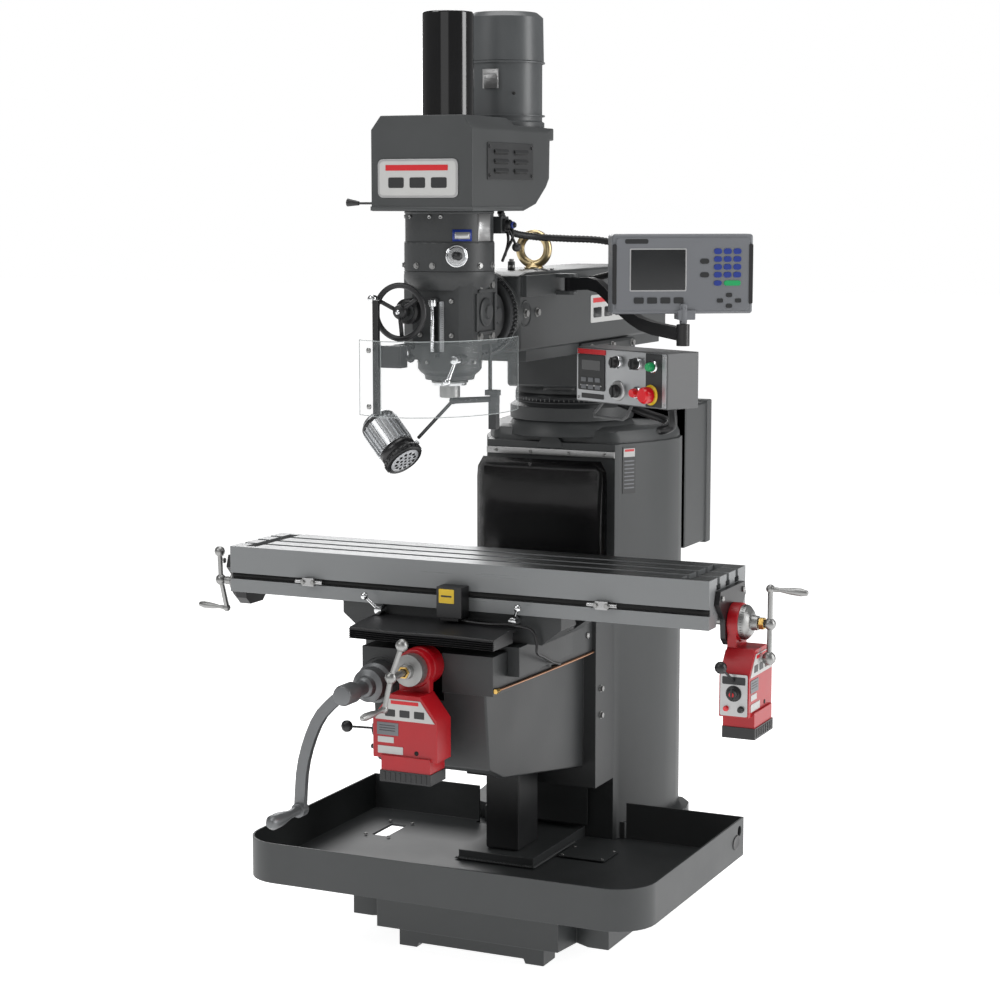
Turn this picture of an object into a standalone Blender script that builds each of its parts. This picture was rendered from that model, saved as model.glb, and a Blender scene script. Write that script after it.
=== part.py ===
"""Floor-standing turret milling machine with powered table feeds, a digital readout and a pendant control box.

Metres, +Z up, floor at Z = 0, machine centre plane at X = 0, operator at -Y.
"""

from math import cos, pi, radians, sin

import bmesh
import bpy
from mathutils import Matrix, Vector

# ---------------------------------------------------------------- dimensions
BASE_HALF_WIDTH = 0.355
BASE_FRONT, BASE_BACK = -0.39, 0.43
TRAY_HALF_WIDTH = 0.54
TRAY_FRONT, TRAY_BACK = -0.652, 0.078
TRAY_BOTTOM, TRAY_TOP = 0.19, 0.292
TRAY_CORNER = 0.1
COLUMN_FACE = 0.057
COLUMN_TOP = 1.30
KNEE_HALF_WIDTH = 0.15
KNEE_FRONT = -0.668
KNEE_TOP = 0.817
SADDLE_HALF_LENGTH = 0.292
SADDLE_FRONT = -0.544
SADDLE_TOP = 0.8985
TABLE_LEFT, TABLE_RIGHT = -0.605, 0.665
TABLE_FRONT, TABLE_BACK = -0.56, -0.306
TABLE_BOTTOM, TABLE_TOP = 0.899, 1.015
TABLE_MID = (TABLE_FRONT + TABLE_BACK) / 2
SLOT_HALF, SLOT_PITCH = 0.008, 0.0635
SCREW_Z = 0.903
CROSS_SCREW_Z = 0.788
KNEE_CRANK = (-0.12, 0.737)
TURRET_Y, TURRET_RADIUS = 0.2, 0.15
RAM_HALF_WIDTH = 0.1
RAM_FRONT, RAM_BACK = -0.373, 0.64
RAM_BOTTOM, RAM_TOP = 1.48, 1.70
HEAD_TILT_Z = 1.60
NOD_Y = -0.445
SPINDLE_Y = -0.54
NOSE_Z = 1.4085
COVER_HALF_WIDTH, COVER_FRONT = 0.13, -0.686
COVER_BOTTOM, COVER_TOP = 1.848, 2.066
MOTOR_Y, MOTOR_RADIUS, MOTOR_TOP = -0.23, 0.0925, 2.327
LAMP_JOINT = Vector((0.085, -0.47, 1.402))
LAMP_ELBOW = Vector((-0.018, -0.4865, 1.396))
LAMP_NECK = Vector((-0.118, -0.475, 1.300))
LAMP_AXIS = Vector((0.70, -0.229, -0.68)).normalized()
GAP = 0.0005

GREY = (0.09, 0.10, 0.10)
BLACK = (0.012, 0.012, 0.013)
RED = (0.55, 0.012, 0.02)
STEEL = (0.55, 0.56, 0.57)

for old in list(bpy.data.objects):
    bpy.data.objects.remove(old)
PARTS = bpy.data.collections.new("milling_machine")
HELPERS = bpy.data.collections.new("helpers")
HELPERS.hide_render = True
bpy.context.scene.collection.children.link(PARTS)
bpy.context.scene.collection.children.link(HELPERS)


# ---------------------------------------------------------------- shape makers
def helper(name, mesh):
    obj = bpy.data.objects.new(name, mesh)
    obj.hide_render = True
    obj.display_type = "WIRE"
    HELPERS.objects.link(obj)
    return obj


def from_bmesh(name, bm):
    bmesh.ops.recalc_face_normals(bm, faces=bm.faces)
    mesh = bpy.data.meshes.new(name)
    bm.to_mesh(mesh)
    bm.free()
    return helper(name, mesh)


def solid(obj):
    """The shape with its modifiers applied, as a plain closed mesh in world space."""
    bpy.context.view_layer.update()
    evaluated = obj.evaluated_get(bpy.context.evaluated_depsgraph_get())
    bm = bmesh.new()
    bm.from_mesh(bpy.data.meshes.new_from_object(evaluated))
    bmesh.ops.transform(bm, matrix=obj.matrix_world, verts=bm.verts)
    bpy.data.objects.remove(obj)
    bmesh.ops.remove_doubles(bm, verts=bm.verts, dist=0.00002)
    return from_bmesh("solid", bm)


def bevelled(obj, width, segments=2, angle=50):
    mod = obj.modifiers.new("bevel", "BEVEL")
    mod.width = width
    mod.segments = segments
    mod.limit_method = "ANGLE"
    mod.angle_limit = radians(angle)
    return obj


def block(low, high, bevel=0.0, segments=2):
    """A box between two corners."""
    bm = bmesh.new()
    bmesh.ops.create_cube(bm, size=1)
    low, high = Vector(low), Vector(high)
    for v in bm.verts:
        v.co = Vector(l + (h - l) * (c + 0.5) for l, h, c in zip(low, high, v.co))
    obj = from_bmesh("block", bm)
    return bevelled(obj, bevel, segments) if bevel else obj


def extrusion(outline, axis, low, high, bevel=0.0):
    """A flat outline pushed along X, Y or Z. The outline is in the other two axes, in order."""
    place = {"X": lambda p, h: (h, p[0], p[1]), "Y": lambda p, h: (p[0], h, p[1]), "Z": lambda p, h: (p[0], p[1], h)}
    bm = bmesh.new()
    ends = [[bm.verts.new(place[axis](p, h)) for p in outline] for h in (low, high)]
    bm.faces.new(ends[0])
    bm.faces.new(ends[1])
    for i in range(len(outline)):
        j = (i + 1) % len(outline)
        bm.faces.new((ends[0][i], ends[0][j], ends[1][j], ends[1][i]))
    obj = from_bmesh("extrusion", bm)
    return bevelled(obj, bevel) if bevel else obj


def turned(profile, origin, axis=(0, 0, 1), steps=24, ring=False):
    """A profile of (radius, height) points, top to bottom, turned about an axis."""
    mesh = bpy.data.meshes.new("turned")
    edges = [(i, i + 1) for i in range(len(profile) - 1)]
    if ring:
        edges.append((len(profile) - 1, 0))
    mesh.from_pydata([(r, 0, h) for r, h in profile], edges, [])
    obj = helper("turned", mesh)
    mod = obj.modifiers.new("screw", "SCREW")
    mod.steps = mod.render_steps = steps
    mod.use_merge_vertices = True
    mod.merge_threshold = 0.00005
    turn = Vector((0, 0, 1)).rotation_difference(Vector(axis)).to_matrix().to_4x4()
    obj.matrix_world = Matrix.Translation(origin) @ turn
    return solid(obj)


def cylinder(origin, axis, radius, low, high, steps=24):
    return turned([(0, high), (radius, high), (radius, low), (0, low)], origin, axis, steps)


def rod(a, b, radius, end_radius=None, steps=12):
    """A straight round bar between two points."""
    a, b = Vector(a), Vector(b)
    bm = bmesh.new()
    r2 = radius if end_radius is None else end_radius
    bmesh.ops.create_cone(bm, cap_ends=True, segments=steps, radius1=radius, radius2=r2, depth=(b - a).length)
    turn = Vector((0, 0, 1)).rotation_difference(b - a).to_matrix().to_4x4()
    bmesh.ops.transform(bm, matrix=Matrix.Translation((a + b) / 2) @ turn, verts=bm.verts)
    return from_bmesh("rod", bm)


def ball(centre, radius, steps=10):
    bm = bmesh.new()
    bmesh.ops.create_uvsphere(bm, u_segments=steps, v_segments=steps * 2 // 3, radius=radius)
    bmesh.ops.translate(bm, vec=centre, verts=bm.verts)
    return from_bmesh("ball", bm)


def tube(points, radius, resolution=1):
    """A bent round bar along a list of points."""
    curve = bpy.data.curves.new("tube", "CURVE")
    curve.dimensions = "3D"
    curve.bevel_depth = radius
    curve.bevel_resolution = resolution
    curve.use_fill_caps = True
    line = curve.splines.new("POLY")
    line.points.add(len(points) - 1)
    for target, point in zip(line.points, points):
        target.co = (*point, 1)
    return solid(helper("guide", curve))


def smooth(points, count):
    """Points along a Catmull-Rom curve through the given ones."""
    pts = [Vector(p) for p in points]
    pts = [2 * pts[0] - pts[1]] + pts + [2 * pts[-1] - pts[-2]]
    spans = len(pts) - 3
    out = []
    for n in range(count):
        t = n * spans / (count - 1)
        i = min(int(t), spans - 1)
        t -= i
        a, b, c, d = pts[i : i + 4]
        out.append(0.5 * (2 * b + (c - a) * t + (2 * a - 5 * b + 4 * c - d) * t**2 + (3 * b - a - 3 * c + d) * t**3))
    return out


def arc(centre, radius, start, end, count):
    """Points of a flat circular arc, in degrees."""
    angles = [radians(start + (end - start) * n / (count - 1)) for n in range(count)]
    return [(centre[0] + radius * cos(a), centre[1] + radius * sin(a)) for a in angles]


def moved(objs, matrix):
    """The shapes, carried by a matrix."""
    for obj in objs:
        obj.matrix_world = matrix @ obj.matrix_world
    return objs


def piece(name, base, colour, rough, metal, joins=(), cuts=(), pivot=(0, 0, 0)):
    """Turns a shape into a named part, joined to and cut by others, with its origin on its pivot."""
    for obj, operation in [(j, "UNION") for j in joins] + [(c, "DIFFERENCE") for c in cuts]:
        mod = base.modifiers.new(operation.lower(), "BOOLEAN")
        mod.operation = operation
        mod.solver = "EXACT"
        mod.object = obj
    HELPERS.objects.unlink(base)
    PARTS.objects.link(base)
    base.name = name
    base.data.name = name
    base.hide_render = False
    base.display_type = "TEXTURED"
    base.data.transform(Matrix.Translation(-Vector(pivot)) @ base.matrix_world)
    base.matrix_world = Matrix.Translation(pivot)
    mat = bpy.data.materials.new(name)
    mat.use_nodes = True
    shader = mat.node_tree.nodes["Principled BSDF"]
    shader.inputs["Base Color"].default_value = (*colour, 1)
    shader.inputs["Roughness"].default_value = rough
    shader.inputs["Metallic"].default_value = metal
    mat.diffuse_color = (*colour, 1)
    base.data.materials.append(mat)
    return base


# ---------------------------------------------------------------- base, tray and column
def make_base():
    outline = [(-0.25, -0.46), (0.25, -0.46), (0.262, BASE_FRONT + 0.02), (0.3, BASE_FRONT), (BASE_HALF_WIDTH, BASE_FRONT),
               (BASE_HALF_WIDTH, BASE_BACK), (-BASE_HALF_WIDTH, BASE_BACK), (-BASE_HALF_WIDTH, BASE_FRONT),
               (-0.3, BASE_FRONT), (-0.262, BASE_FRONT + 0.02)]
    body = extrusion(outline, "Z", 0.05, TRAY_BOTTOM - GAP)
    foot = [(-0.2, 0.0), (-0.15, 0.0), (-0.145, 0.012), (0.145, 0.012), (0.15, 0.0), (0.2, 0.0), (0.2, 0.06), (-0.2, 0.06)]
    joins = [extrusion(foot, "Y", -0.433, -0.36), extrusion(foot, "Y", 0.33, 0.405)]
    joins.append(block((-0.2, -0.03, 0.0), (0.2, 0.03, 0.18)))
    joins.append(block((-0.105, -0.284, 0.18), (0.105, COLUMN_FACE - GAP, 0.222)))
    cuts = [block((-0.33, -0.355, -0.01), (0.33, -0.031, 0.165)), block((-0.33, 0.031, -0.01), (0.33, 0.325, 0.165))]
    cuts.append(cylinder((0, -0.183, 0), (0, 0, 1), 0.024, 0.1, 0.3))
    piece("base_casting", body, GREY, 0.5, 0.1, joins, cuts)


def rounded_tray(inset):
    """The tray's outline: big radii at the front corners, small ones behind."""
    w, f, b = TRAY_HALF_WIDTH - inset, TRAY_FRONT + inset, TRAY_BACK - inset
    r = TRAY_CORNER - inset
    return (arc((-w + r, f + r), r, 180, 270, 8) + arc((w - r, f + r), r, 270, 360, 8) + [(w, b), (-w, b)])


def make_tray():
    body = extrusion(rounded_tray(0), "Z", TRAY_BOTTOM, TRAY_TOP)
    cuts = [extrusion(rounded_tray(0.005), "Z", TRAY_BOTTOM + 0.006, TRAY_TOP + 0.01)]
    cuts.append(block((-0.215, 0.05, 0.1), (0.215, 0.1, 0.3)))
    cuts.append(block((-0.106, -0.285, 0.1), (0.106, 0.06, 0.3)))
    cuts.append(block((-0.415, -0.175, 0.1), (-0.37, -0.06, 0.3)))
    cuts.append(cylinder((0.53, 0.045, 0.262), (1, 0, 0), 0.014, -0.02, 0.03, 12))
    plate = block((0.12, -0.165, TRAY_BOTTOM + 0.004), (0.25, -0.065, TRAY_BOTTOM + 0.009))
    piece("chip_tray", body, GREY, 0.45, 0.2, [plate], cuts)


def column_outline(scale=1.0):
    half = [(0.183, COLUMN_FACE), (0.190, 0.085), (0.215, 0.125), (0.240, 0.175), (0.260, 0.235), (0.268, 0.30), (0.255, 0.36), (0.225, 0.4)]
    half = [(x * scale, y) for x, y in half]
    return half + [(-x, y) for x, y in reversed(half)]


def make_column():
    body = extrusion(column_outline(), "Z", TRAY_BOTTOM + GAP, 1.245)
    shoulder = extrusion([(x * 0.97, 0.07 + (y - COLUMN_FACE) * 0.96) for x, y in column_outline()], "Z", 1.2, 1.285, 0.03)
    neck = turned([(0, COLUMN_TOP), (0.155, COLUMN_TOP), (0.17, 1.28), (0.175, 1.26), (0, 1.26)], (0, TURRET_Y, 0), steps=28)
    rib = [(-0.105, COLUMN_FACE + 0.01), (-0.125, 0.022), (0.125, 0.022), (0.105, COLUMN_FACE + 0.01)]
    ways = extrusion(rib, "Z", 0.235, 1.15)
    foot = extrusion([(x * 1.12, y if y > 0.1 else y + 0.03) for x, y in column_outline()], "Z", TRAY_BOTTOM + GAP, 0.235)
    hollow = block((-0.2, 0.13, 0.15), (0.2, 0.36, 1.2))
    keep = block((-0.183, COLUMN_FACE, TRAY_BOTTOM + GAP), (0.183, 0.1, 0.3))
    boss = extrusion(arc((0, 1.2285), 0.036, 0, 180, 12), "Y", COLUMN_FACE - 0.003, 0.09)
    piece("column_casting", body, GREY, 0.5, 0.1, [shoulder, neck, ways, foot, boss, keep], [hollow])


def make_cover_sheets():
    piece("cover_strip", block((-0.183, COLUMN_FACE - 0.0055, 1.2095), (0.183, COLUMN_FACE - GAP, 1.2265)), STEEL, 0.35, 0.9)
    front = [(COLUMN_FACE - 0.001, 1.207), (0.040, 1.206), (0.012, 1.198), (-0.006, 1.180), (-0.016, 1.140), (-0.019, 1.05),
             (-0.018, 0.95), (-0.008, 0.89), (0.0, 0.83)]
    back = [(y + 0.0035, z - 0.001) for y, z in reversed(front[1:])] + [(COLUMN_FACE - 0.001, 1.203)]
    sheet = extrusion(front + back, "X", -0.185, 0.185)
    piece("rear_way_cover", sheet, BLACK, 0.3, 0.0)


def make_cabinet():
    body = block((-0.25, 0.4005, 0.93), (0.25, 0.57, 1.32), 0.004, 1)
    door = block((-0.255, 0.56, 0.925), (0.255, 0.597, 1.325), 0.003, 1)
    inside = block((-0.246, 0.39, 0.934), (0.246, 0.592, 1.316))
    piece("electrical_cabinet", body, GREY, 0.4, 0.2, [door], [inside])


def make_post():
    body = block((-0.047, -0.246, 0.2225), (0.047, -0.12, 0.56), 0.008, 2)
    bore = cylinder((0, -0.183, 0), (0, 0, 1), 0.019, 0.2, 0.6, 16)
    piece("elevating_post", body, GREY, 0.45, 0.3, cuts=[bore])


# ---------------------------------------------------------------- knee
def make_knee():
    side = [(KNEE_FRONT + 0.008, 0.73), (KNEE_FRONT + 0.03, 0.535), (-0.56, 0.50), (-0.06, 0.415), (-0.05, 0.40), (-0.05, 0.73)]
    body = extrusion(side, "X", -KNEE_HALF_WIDTH, KNEE_HALF_WIDTH, 0.012)
    top = block((-0.173, KNEE_FRONT, 0.722), (0.173, 0.02, KNEE_TOP))
    rear = block((-0.185, -0.07, 0.362), (0.185, COLUMN_FACE - 0.001, 0.80))
    rib = [(-0.1055, COLUMN_FACE + 0.02), (-0.1255, 0.0215), (0.1255, 0.0215), (0.1055, COLUMN_FACE + 0.02)]
    boss = cylinder((KNEE_CRANK[0], KNEE_FRONT + 0.05, KNEE_CRANK[1]), (0, -1, 0), 0.056, 0, 0.052, 24)
    screw = cylinder((0, -0.183, 0), (0, 0, 1), 0.016, 0.2, 0.76, 16)
    cuts = [extrusion(rib, "Z", 0.3, 1.0), block((-0.13, -0.60, 0.3), (0.13, -0.075, 0.69))]
    cuts.append(block((-0.04, KNEE_FRONT - 0.01, 0.700), (0.04, -0.56, 0.83)))
    body = piece("knee_casting", body, GREY, 0.5, 0.1, [top, rear, boss], cuts)
    mod = body.modifiers.new("screw", "BOOLEAN")
    mod.operation = "UNION"
    mod.solver = "EXACT"
    mod.object = screw


def feed_housing(name, matrix, neck_steps=24):
    """A power feed unit in its own frame: screw axis at the origin along -Y, box hanging below."""
    front, back = -0.114, -0.042
    outline = [(-0.084, -0.208), (-0.084, -0.112), (-0.040, -0.055), (0.040, -0.055), (0.084, -0.112), (0.084, -0.208)]
    body = extrusion(outline, "Y", front, back)
    neck = turned([(0, 0.066), (0.045, 0.066), (0.045, 0.044), (0, 0.044)], (0, 0, 0), (0, -1, 0), neck_steps)
    web = block((-0.0395, -0.0655, -0.1), (0.0395, -0.0445, -0.01))
    motor = block((-0.060, -0.120, -0.236), (0.068, -0.043, -0.2))
    foot = block((-0.062, -0.122, -0.262), (0.070, -0.0425, -0.2355))
    bore = cylinder((0, 0, 0), (0, -1, 0), 0.012, -0.01, 0.2, 16)
    moved([body, neck, web, motor, foot, bore], matrix)
    return body, [neck, web, motor, foot], [bore]


def ball_crank(hub, spin, up, down, handle, weight, grip):
    """A ball crank: hub ball, an arm each way, a weight ball on one and a turned handle on the other."""
    hub, up, down, handle = Vector(hub), Vector(up), Vector(down), Vector(handle)
    base = ball(hub, 0.0145)
    joins = [rod(hub, up, 0.0065, 0.0065, 8), rod(hub, down, 0.0065, 0.0065, 8)]
    joins.append(ball(up, weight))
    joins.append(ball(down, grip))
    along = (handle - down).normalized()
    length = (handle - down).length
    profile = [(0, length), (0.006, length - 0.002), (0.0095, length * 0.8), (0.0085, length * 0.55), (0.005, length * 0.25),
               (0.006, length * 0.12), (0.006, 0), (0, 0)]
    joins.append(turned(profile, down, along, 12))
    return base, joins


def make_cross_feed():
    frame = Matrix.Translation((0, KNEE_FRONT, CROSS_SCREW_Z))
    body, joins, cuts = feed_housing("y_feed_housing", frame)
    joins.append(cylinder((0, KNEE_FRONT, CROSS_SCREW_Z), (0, -1, 0), 0.047, 0.0005, 0.046, 24))
    piece("y_feed_housing", body, RED, 0.3, 0.0, joins, cuts)
    y = KNEE_FRONT - 0.066 - GAP
    z = CROSS_SCREW_Z
    hub = Vector((0, -0.85, z))
    crank, arms = ball_crank(hub, (0, -1, 0), (0.030, -0.852, z + 0.078), (-0.018, -0.85, z - 0.076), (-0.030, -0.94, z - 0.080), 0.0150, 0.0095)
    arms.append(turned([(0, 0.108), (0.008, 0.108), (0.008, 0.052), (0.017, 0.050), (0.018, 0.034), (0.038, 0.032), (0.038, 0.001),
                        (0.0115, 0.0005), (0.0115, -0.055), (0, -0.055)], (0, y, z), (0, -1, 0), 20))
    piece("cross_crank", crank, STEEL, 0.3, 0.8, arms, pivot=(0, y, z))
    lever = rod((-0.0865, -0.75, 0.64), (-0.155, -0.76, 0.64), 0.003, None, 8)
    piece("y_feed_lever", lever, BLACK, 0.4, 0.0, [ball((-0.165, -0.761, 0.64), 0.0145)], pivot=(-0.0865, -0.75, 0.64))


def make_knee_crank():
    x, z = KNEE_CRANK
    front = KNEE_FRONT - 0.0025
    shaft = turned([(0, 0.20), (0.022, 0.198), (0.025, 0.19), (0.025, 0.145), (0.017, 0.14), (0.017, 0.095), (0.024, 0.09), (0.026, 0.076),
                    (0.040, 0.070), (0.041, 0.04), (0.049, 0.034), (0.049, 0.001), (0, 0.001)], (x, front, z), (0, -1, 0), 24)
    path = [(x - 0.005, z + 0.004), (-0.155, z - 0.02), (-0.195, 0.675), (-0.225, 0.610), (-0.243, 0.540), (-0.250, 0.450)]
    curve = smooth([(px, 0, pz) for px, pz in path], 12)
    left, right = [], []
    for i, p in enumerate(curve):
        run = (curve[min(i + 1, 11)] - curve[max(i - 1, 0)]).normalized()
        side = Vector((-run.z, 0, run.x)) * 0.0135
        left.append((p.x + side.x, p.z + side.z))
        right.append((p.x - side.x, p.z - side.z))
    arm = extrusion(left + right[::-1], "Y", -0.845, -0.828)
    eye = cylinder((-0.250, 0, 0.447), (0, -1, 0), 0.0175, 0.826, 0.852, 16)
    handle = turned([(0, 0.13), (0.010, 0.128), (0.0175, 0.115), (0.0175, 0.085), (0.010, 0.035), (0.011, 0.012), (0.011, -0.01), (0, -0.01)],
                    (-0.250, -0.852, 0.447), (0, -1, 0), 16)
    piece("knee_crank", shaft, (0.2, 0.2, 0.2), 0.35, 0.6, [arm, eye, handle], pivot=(x, front, z))


# ---------------------------------------------------------------- saddle
def make_saddle():
    half = SADDLE_HALF_LENGTH
    front = [(-half, SADDLE_TOP), (-half, 0.868), (-half + 0.05, 0.8285), (half - 0.05, 0.8285), (half, 0.868), (half, SADDLE_TOP)]
    body = extrusion(front, "Y", SADDLE_FRONT, -0.29)
    skirt = block((-0.205, -0.59, 0.757), (0.205, -0.27, 0.85))
    dove = [(-0.510, 0.89), (-0.497, 0.922), (-0.369, 0.922), (-0.356, 0.89)]
    rail = extrusion([(y, z) for y, z in dove], "X", -half, half)
    cuts = [block((-0.1735, -0.7, 0.7), (0.1735, -0.1, KNEE_TOP + 0.0005)),
            block((-0.4, TABLE_MID - 0.022, 0.872), (0.4, TABLE_MID + 0.022, 0.93))]
    for side in (-1, 1):
        window = [(-0.470, 0.90), (-0.362, 0.90), (-0.392, 0.845), (-0.440, 0.845)]
        cuts.append(extrusion(window, "X", side * 0.292 - 0.03, side * 0.292 + 0.03))
    cuts.append(block((-0.3, -0.545 - 0.06, 0.8286), (0.3, SADDLE_FRONT, 0.86)))
    piece("saddle_casting", body, GREY, 0.5, 0.1, [skirt, rail], cuts)


def make_way_cover():
    outline = [(-0.546, 0.874), (-0.700, 0.865)]
    for n in range(4):
        z = 0.861 - n * 0.006
        outline += [(-0.697 + 0.004, z), (-0.705, z - 0.003)]
    outline += [(-0.690, 0.8385), (-0.594, 0.8395), (-0.594, 0.864), (-0.546, 0.866)]
    piece("front_way_cover", extrusion(outline, "X", -0.19, 0.19), BLACK, 0.6, 0.0)


def make_saddle_fittings():
    body = block((-0.006, -0.604, 0.888), (0.060, -0.5625, 0.962))
    foot = block((0.0, -0.60, 0.880), (0.05, SADDLE_FRONT - GAP, 0.8975))
    piece("limit_switch", body, BLACK, 0.5, 0.0, [foot])
    for side, x, name in ((-1, -0.178, "lock_lever_left"), (1, 0.180, "lock_lever_right")):
        hub = Vector((x, SADDLE_FRONT - 0.013, 0.886))
        base = turned([(0, 0.024), (0.010, 0.022), (0.011, 0.0), (0.011, -0.0115), (0, -0.0115)], hub, (0, -1, 0), 12)
        tip = Vector((x + (-0.030 if side < 0 else 0.020), hub.y - 0.033, 0.886 + 0.036))
        joins = [rod(hub - Vector((0, 0.012, 0)), tip, 0.005, 0.0035, 8), ball(tip, 0.0095)]
        piece(name, base, STEEL, 0.2, 1.0, joins, pivot=hub)


# ---------------------------------------------------------------- table
def make_table():
    outline = [(TABLE_FRONT, 0.9), (TABLE_FRONT, 0.933), (TABLE_FRONT + 0.010, 0.933), (TABLE_FRONT + 0.010, 0.948), (TABLE_FRONT, 0.948), (TABLE_FRONT, TABLE_TOP)]
    for n in (-1, 0, 1):
        y = TABLE_MID + n * SLOT_PITCH
        outline += [(y - SLOT_HALF, TABLE_TOP), (y - SLOT_HALF, 0.998), (y - 0.014, 0.998), (y - 0.014, 0.986), (y + 0.014, 0.986),
                    (y + 0.014, 0.998), (y + SLOT_HALF, 0.998), (y + SLOT_HALF, TABLE_TOP)]
    outline += [(TABLE_BACK, TABLE_TOP), (TABLE_BACK, 0.9), (-0.3545, 0.9), (-0.368, 0.9235), (-0.368, 0.926),
                (-0.498, 0.926), (-0.498, 0.9235), (-0.5115, 0.9)]
    body = extrusion(outline, "X", TABLE_LEFT, TABLE_RIGHT)
    cuts = [block((TABLE_LEFT + 0.035, TABLE_FRONT + 0.018, 1.003), (TABLE_LEFT + 0.065, TABLE_BACK - 0.018, 1.02)),
            block((TABLE_RIGHT - 0.075, TABLE_FRONT + 0.018, 1.003), (TABLE_RIGHT - 0.045, TABLE_BACK - 0.018, 1.02))]
    piece("table_plate", body, (0.2, 0.21, 0.22), 0.3, 0.8, cuts=cuts)
    for name, x in (("stop_dog_left", -0.375), ("stop_dog_right", 0.405)):
        body = block((x - 0.016, TABLE_FRONT - 0.012, 0.935), (x + 0.016, TABLE_FRONT + 0.0085, 0.9465), 0.001, 1)
        joins = [block((x - 0.016, TABLE_FRONT - 0.013, 0.931), (x + 0.016, TABLE_FRONT - GAP, 0.951)),
                 cylinder((x, TABLE_FRONT - 0.007, 0.941), (1, 0, 0), 0.005, -0.038, 0.038, 10)]
        piece(name, body, STEEL, 0.3, 0.9, joins)


def make_end_brackets():
    y = TABLE_MID
    outline = [(y - 0.085, 0.985), (y + 0.085, 0.985), (y + 0.095, 0.955), (y + 0.055, 0.915), (y + 0.05, 0.87), (y + 0.03, 0.852),
               (y - 0.03, 0.852), (y - 0.05, 0.87), (y - 0.055, 0.915), (y - 0.095, 0.955)]
    for name, low, high in (("end_bracket_left", TABLE_LEFT - 0.032, TABLE_LEFT - GAP), ("end_bracket_right", TABLE_RIGHT + GAP, TABLE_RIGHT + 0.013)):
        bore = cylinder((0, y, SCREW_Z), (1, 0, 0), 0.013, -1, 1, 16)
        collar = cylinder((0, y, SCREW_Z), (1, 0, 0), 0.044, low - (0.018 if low < 0 else 0), high, 20)
        piece(name, extrusion(outline, "X", low, high), BLACK, 0.4, 0.2, [collar], [bore])


def make_long_feed():
    y, z = TABLE_MID, SCREW_Z
    neck_start = TABLE_RIGHT + 0.0135
    turn = Matrix.Rotation(radians(90), 4, "Z")
    frame = Matrix.Translation((neck_start - 0.044, y, z)) @ turn
    body, joins, cuts = feed_housing("x_feed_housing", frame)
    cuts.append(block((neck_start - 0.1, y - 0.2, z - 0.06), (neck_start, y + 0.2, z + 0.1)))
    piece("x_feed_housing", body, RED, 0.3, 0.0, joins, cuts)
    dial = neck_start + 0.022
    screw = cylinder((0, y, z), (1, 0, 0), 0.011, TABLE_LEFT - 0.0915, dial + 0.053, 12)
    joins = [turned([(0, 0.043), (0.017, 0.042), (0.018, 0.027), (0.030, 0.025), (0.040, 0.016), (0.041, 0.0005), (0, 0.0005)],
                    (dial, y, z), (1, 0, 0), 24),
             turned([(0, 0.018), (0.024, 0.017), (0.034, 0.008), (0.034, 0.0), (0, 0.0)], (TABLE_LEFT - 0.051, y, z), (-1, 0, 0), 24)]
    piece("x_leadscrew", screw, STEEL, 0.35, 0.8, joins, pivot=(0, y, z))
    right = Vector((dial + 0.0685, y, z))
    crank, arms = ball_crank(right, (1, 0, 0), right + Vector((0, -0.004, -0.080)), right + Vector((0.001, -0.003, 0.083)),
                             right + Vector((0.092, -0.003, 0.079)), 0.0165, 0.0105)
    piece("crank_right", crank, STEEL, 0.3, 0.8, arms, pivot=right)
    left = Vector((TABLE_LEFT - 0.107, y, z))
    crank, arms = ball_crank(left, (-1, 0, 0), left + Vector((0, -0.004, 0.074)), left + Vector((0.0, 0.026, -0.078)),
                             left + Vector((-0.085, 0.028, -0.074)), 0.0140, 0.0100)
    piece("crank_left", crank, STEEL, 0.3, 0.8, arms, pivot=left)
    a = Vector((neck_start + 0.035, y - 0.0865, 0.78))
    piece("x_feed_lever", rod(a, a + Vector((-0.012, -0.040, 0.032)), 0.003, None, 8), BLACK, 0.4, 0.0,
          [ball(a + Vector((-0.015, -0.050, 0.040)), 0.0145)], pivot=a)


# ---------------------------------------------------------------- turret and ram
def make_turret():
    body = turned([(0, 1.40), (0.14, 1.40), (0.146, 1.385), (TURRET_RADIUS, 1.375), (TURRET_RADIUS, 1.345), (0.165, 1.335), (0.165, COLUMN_TOP + GAP),
                   (0, COLUMN_TOP + GAP)], (0, TURRET_Y, 0), steps=28)
    bed = block((-0.115, TURRET_Y - 0.17, 1.39), (0.115, TURRET_Y + 0.17, 1.507), 0.006, 1)
    hinge = []
    for low, high in ((1.398, 1.4125), (1.4475, 1.462)):
        hinge.append(block((0.10, PENDANT_PIVOT.y - 0.014, low), (PENDANT_PIVOT.x, PENDANT_PIVOT.y + 0.014, high)))
        hinge.append(cylinder((PENDANT_PIVOT.x, PENDANT_PIVOT.y, 0), (0, 0, 1), 0.0155, low - 0.0003, high + 0.0003, 12))
    slot = [(-0.0905, 1.60), (-0.0905, 1.5145), (-0.0905, 1.4795), (0.0905, 1.4795), (0.0905, 1.5145), (0.0905, 1.60)]
    piece("turret", body, GREY, 0.45, 0.1, [bed] + hinge, [extrusion(slot, "Y", -0.5, 1.0)], pivot=(0, TURRET_Y, 1.35))


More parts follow.
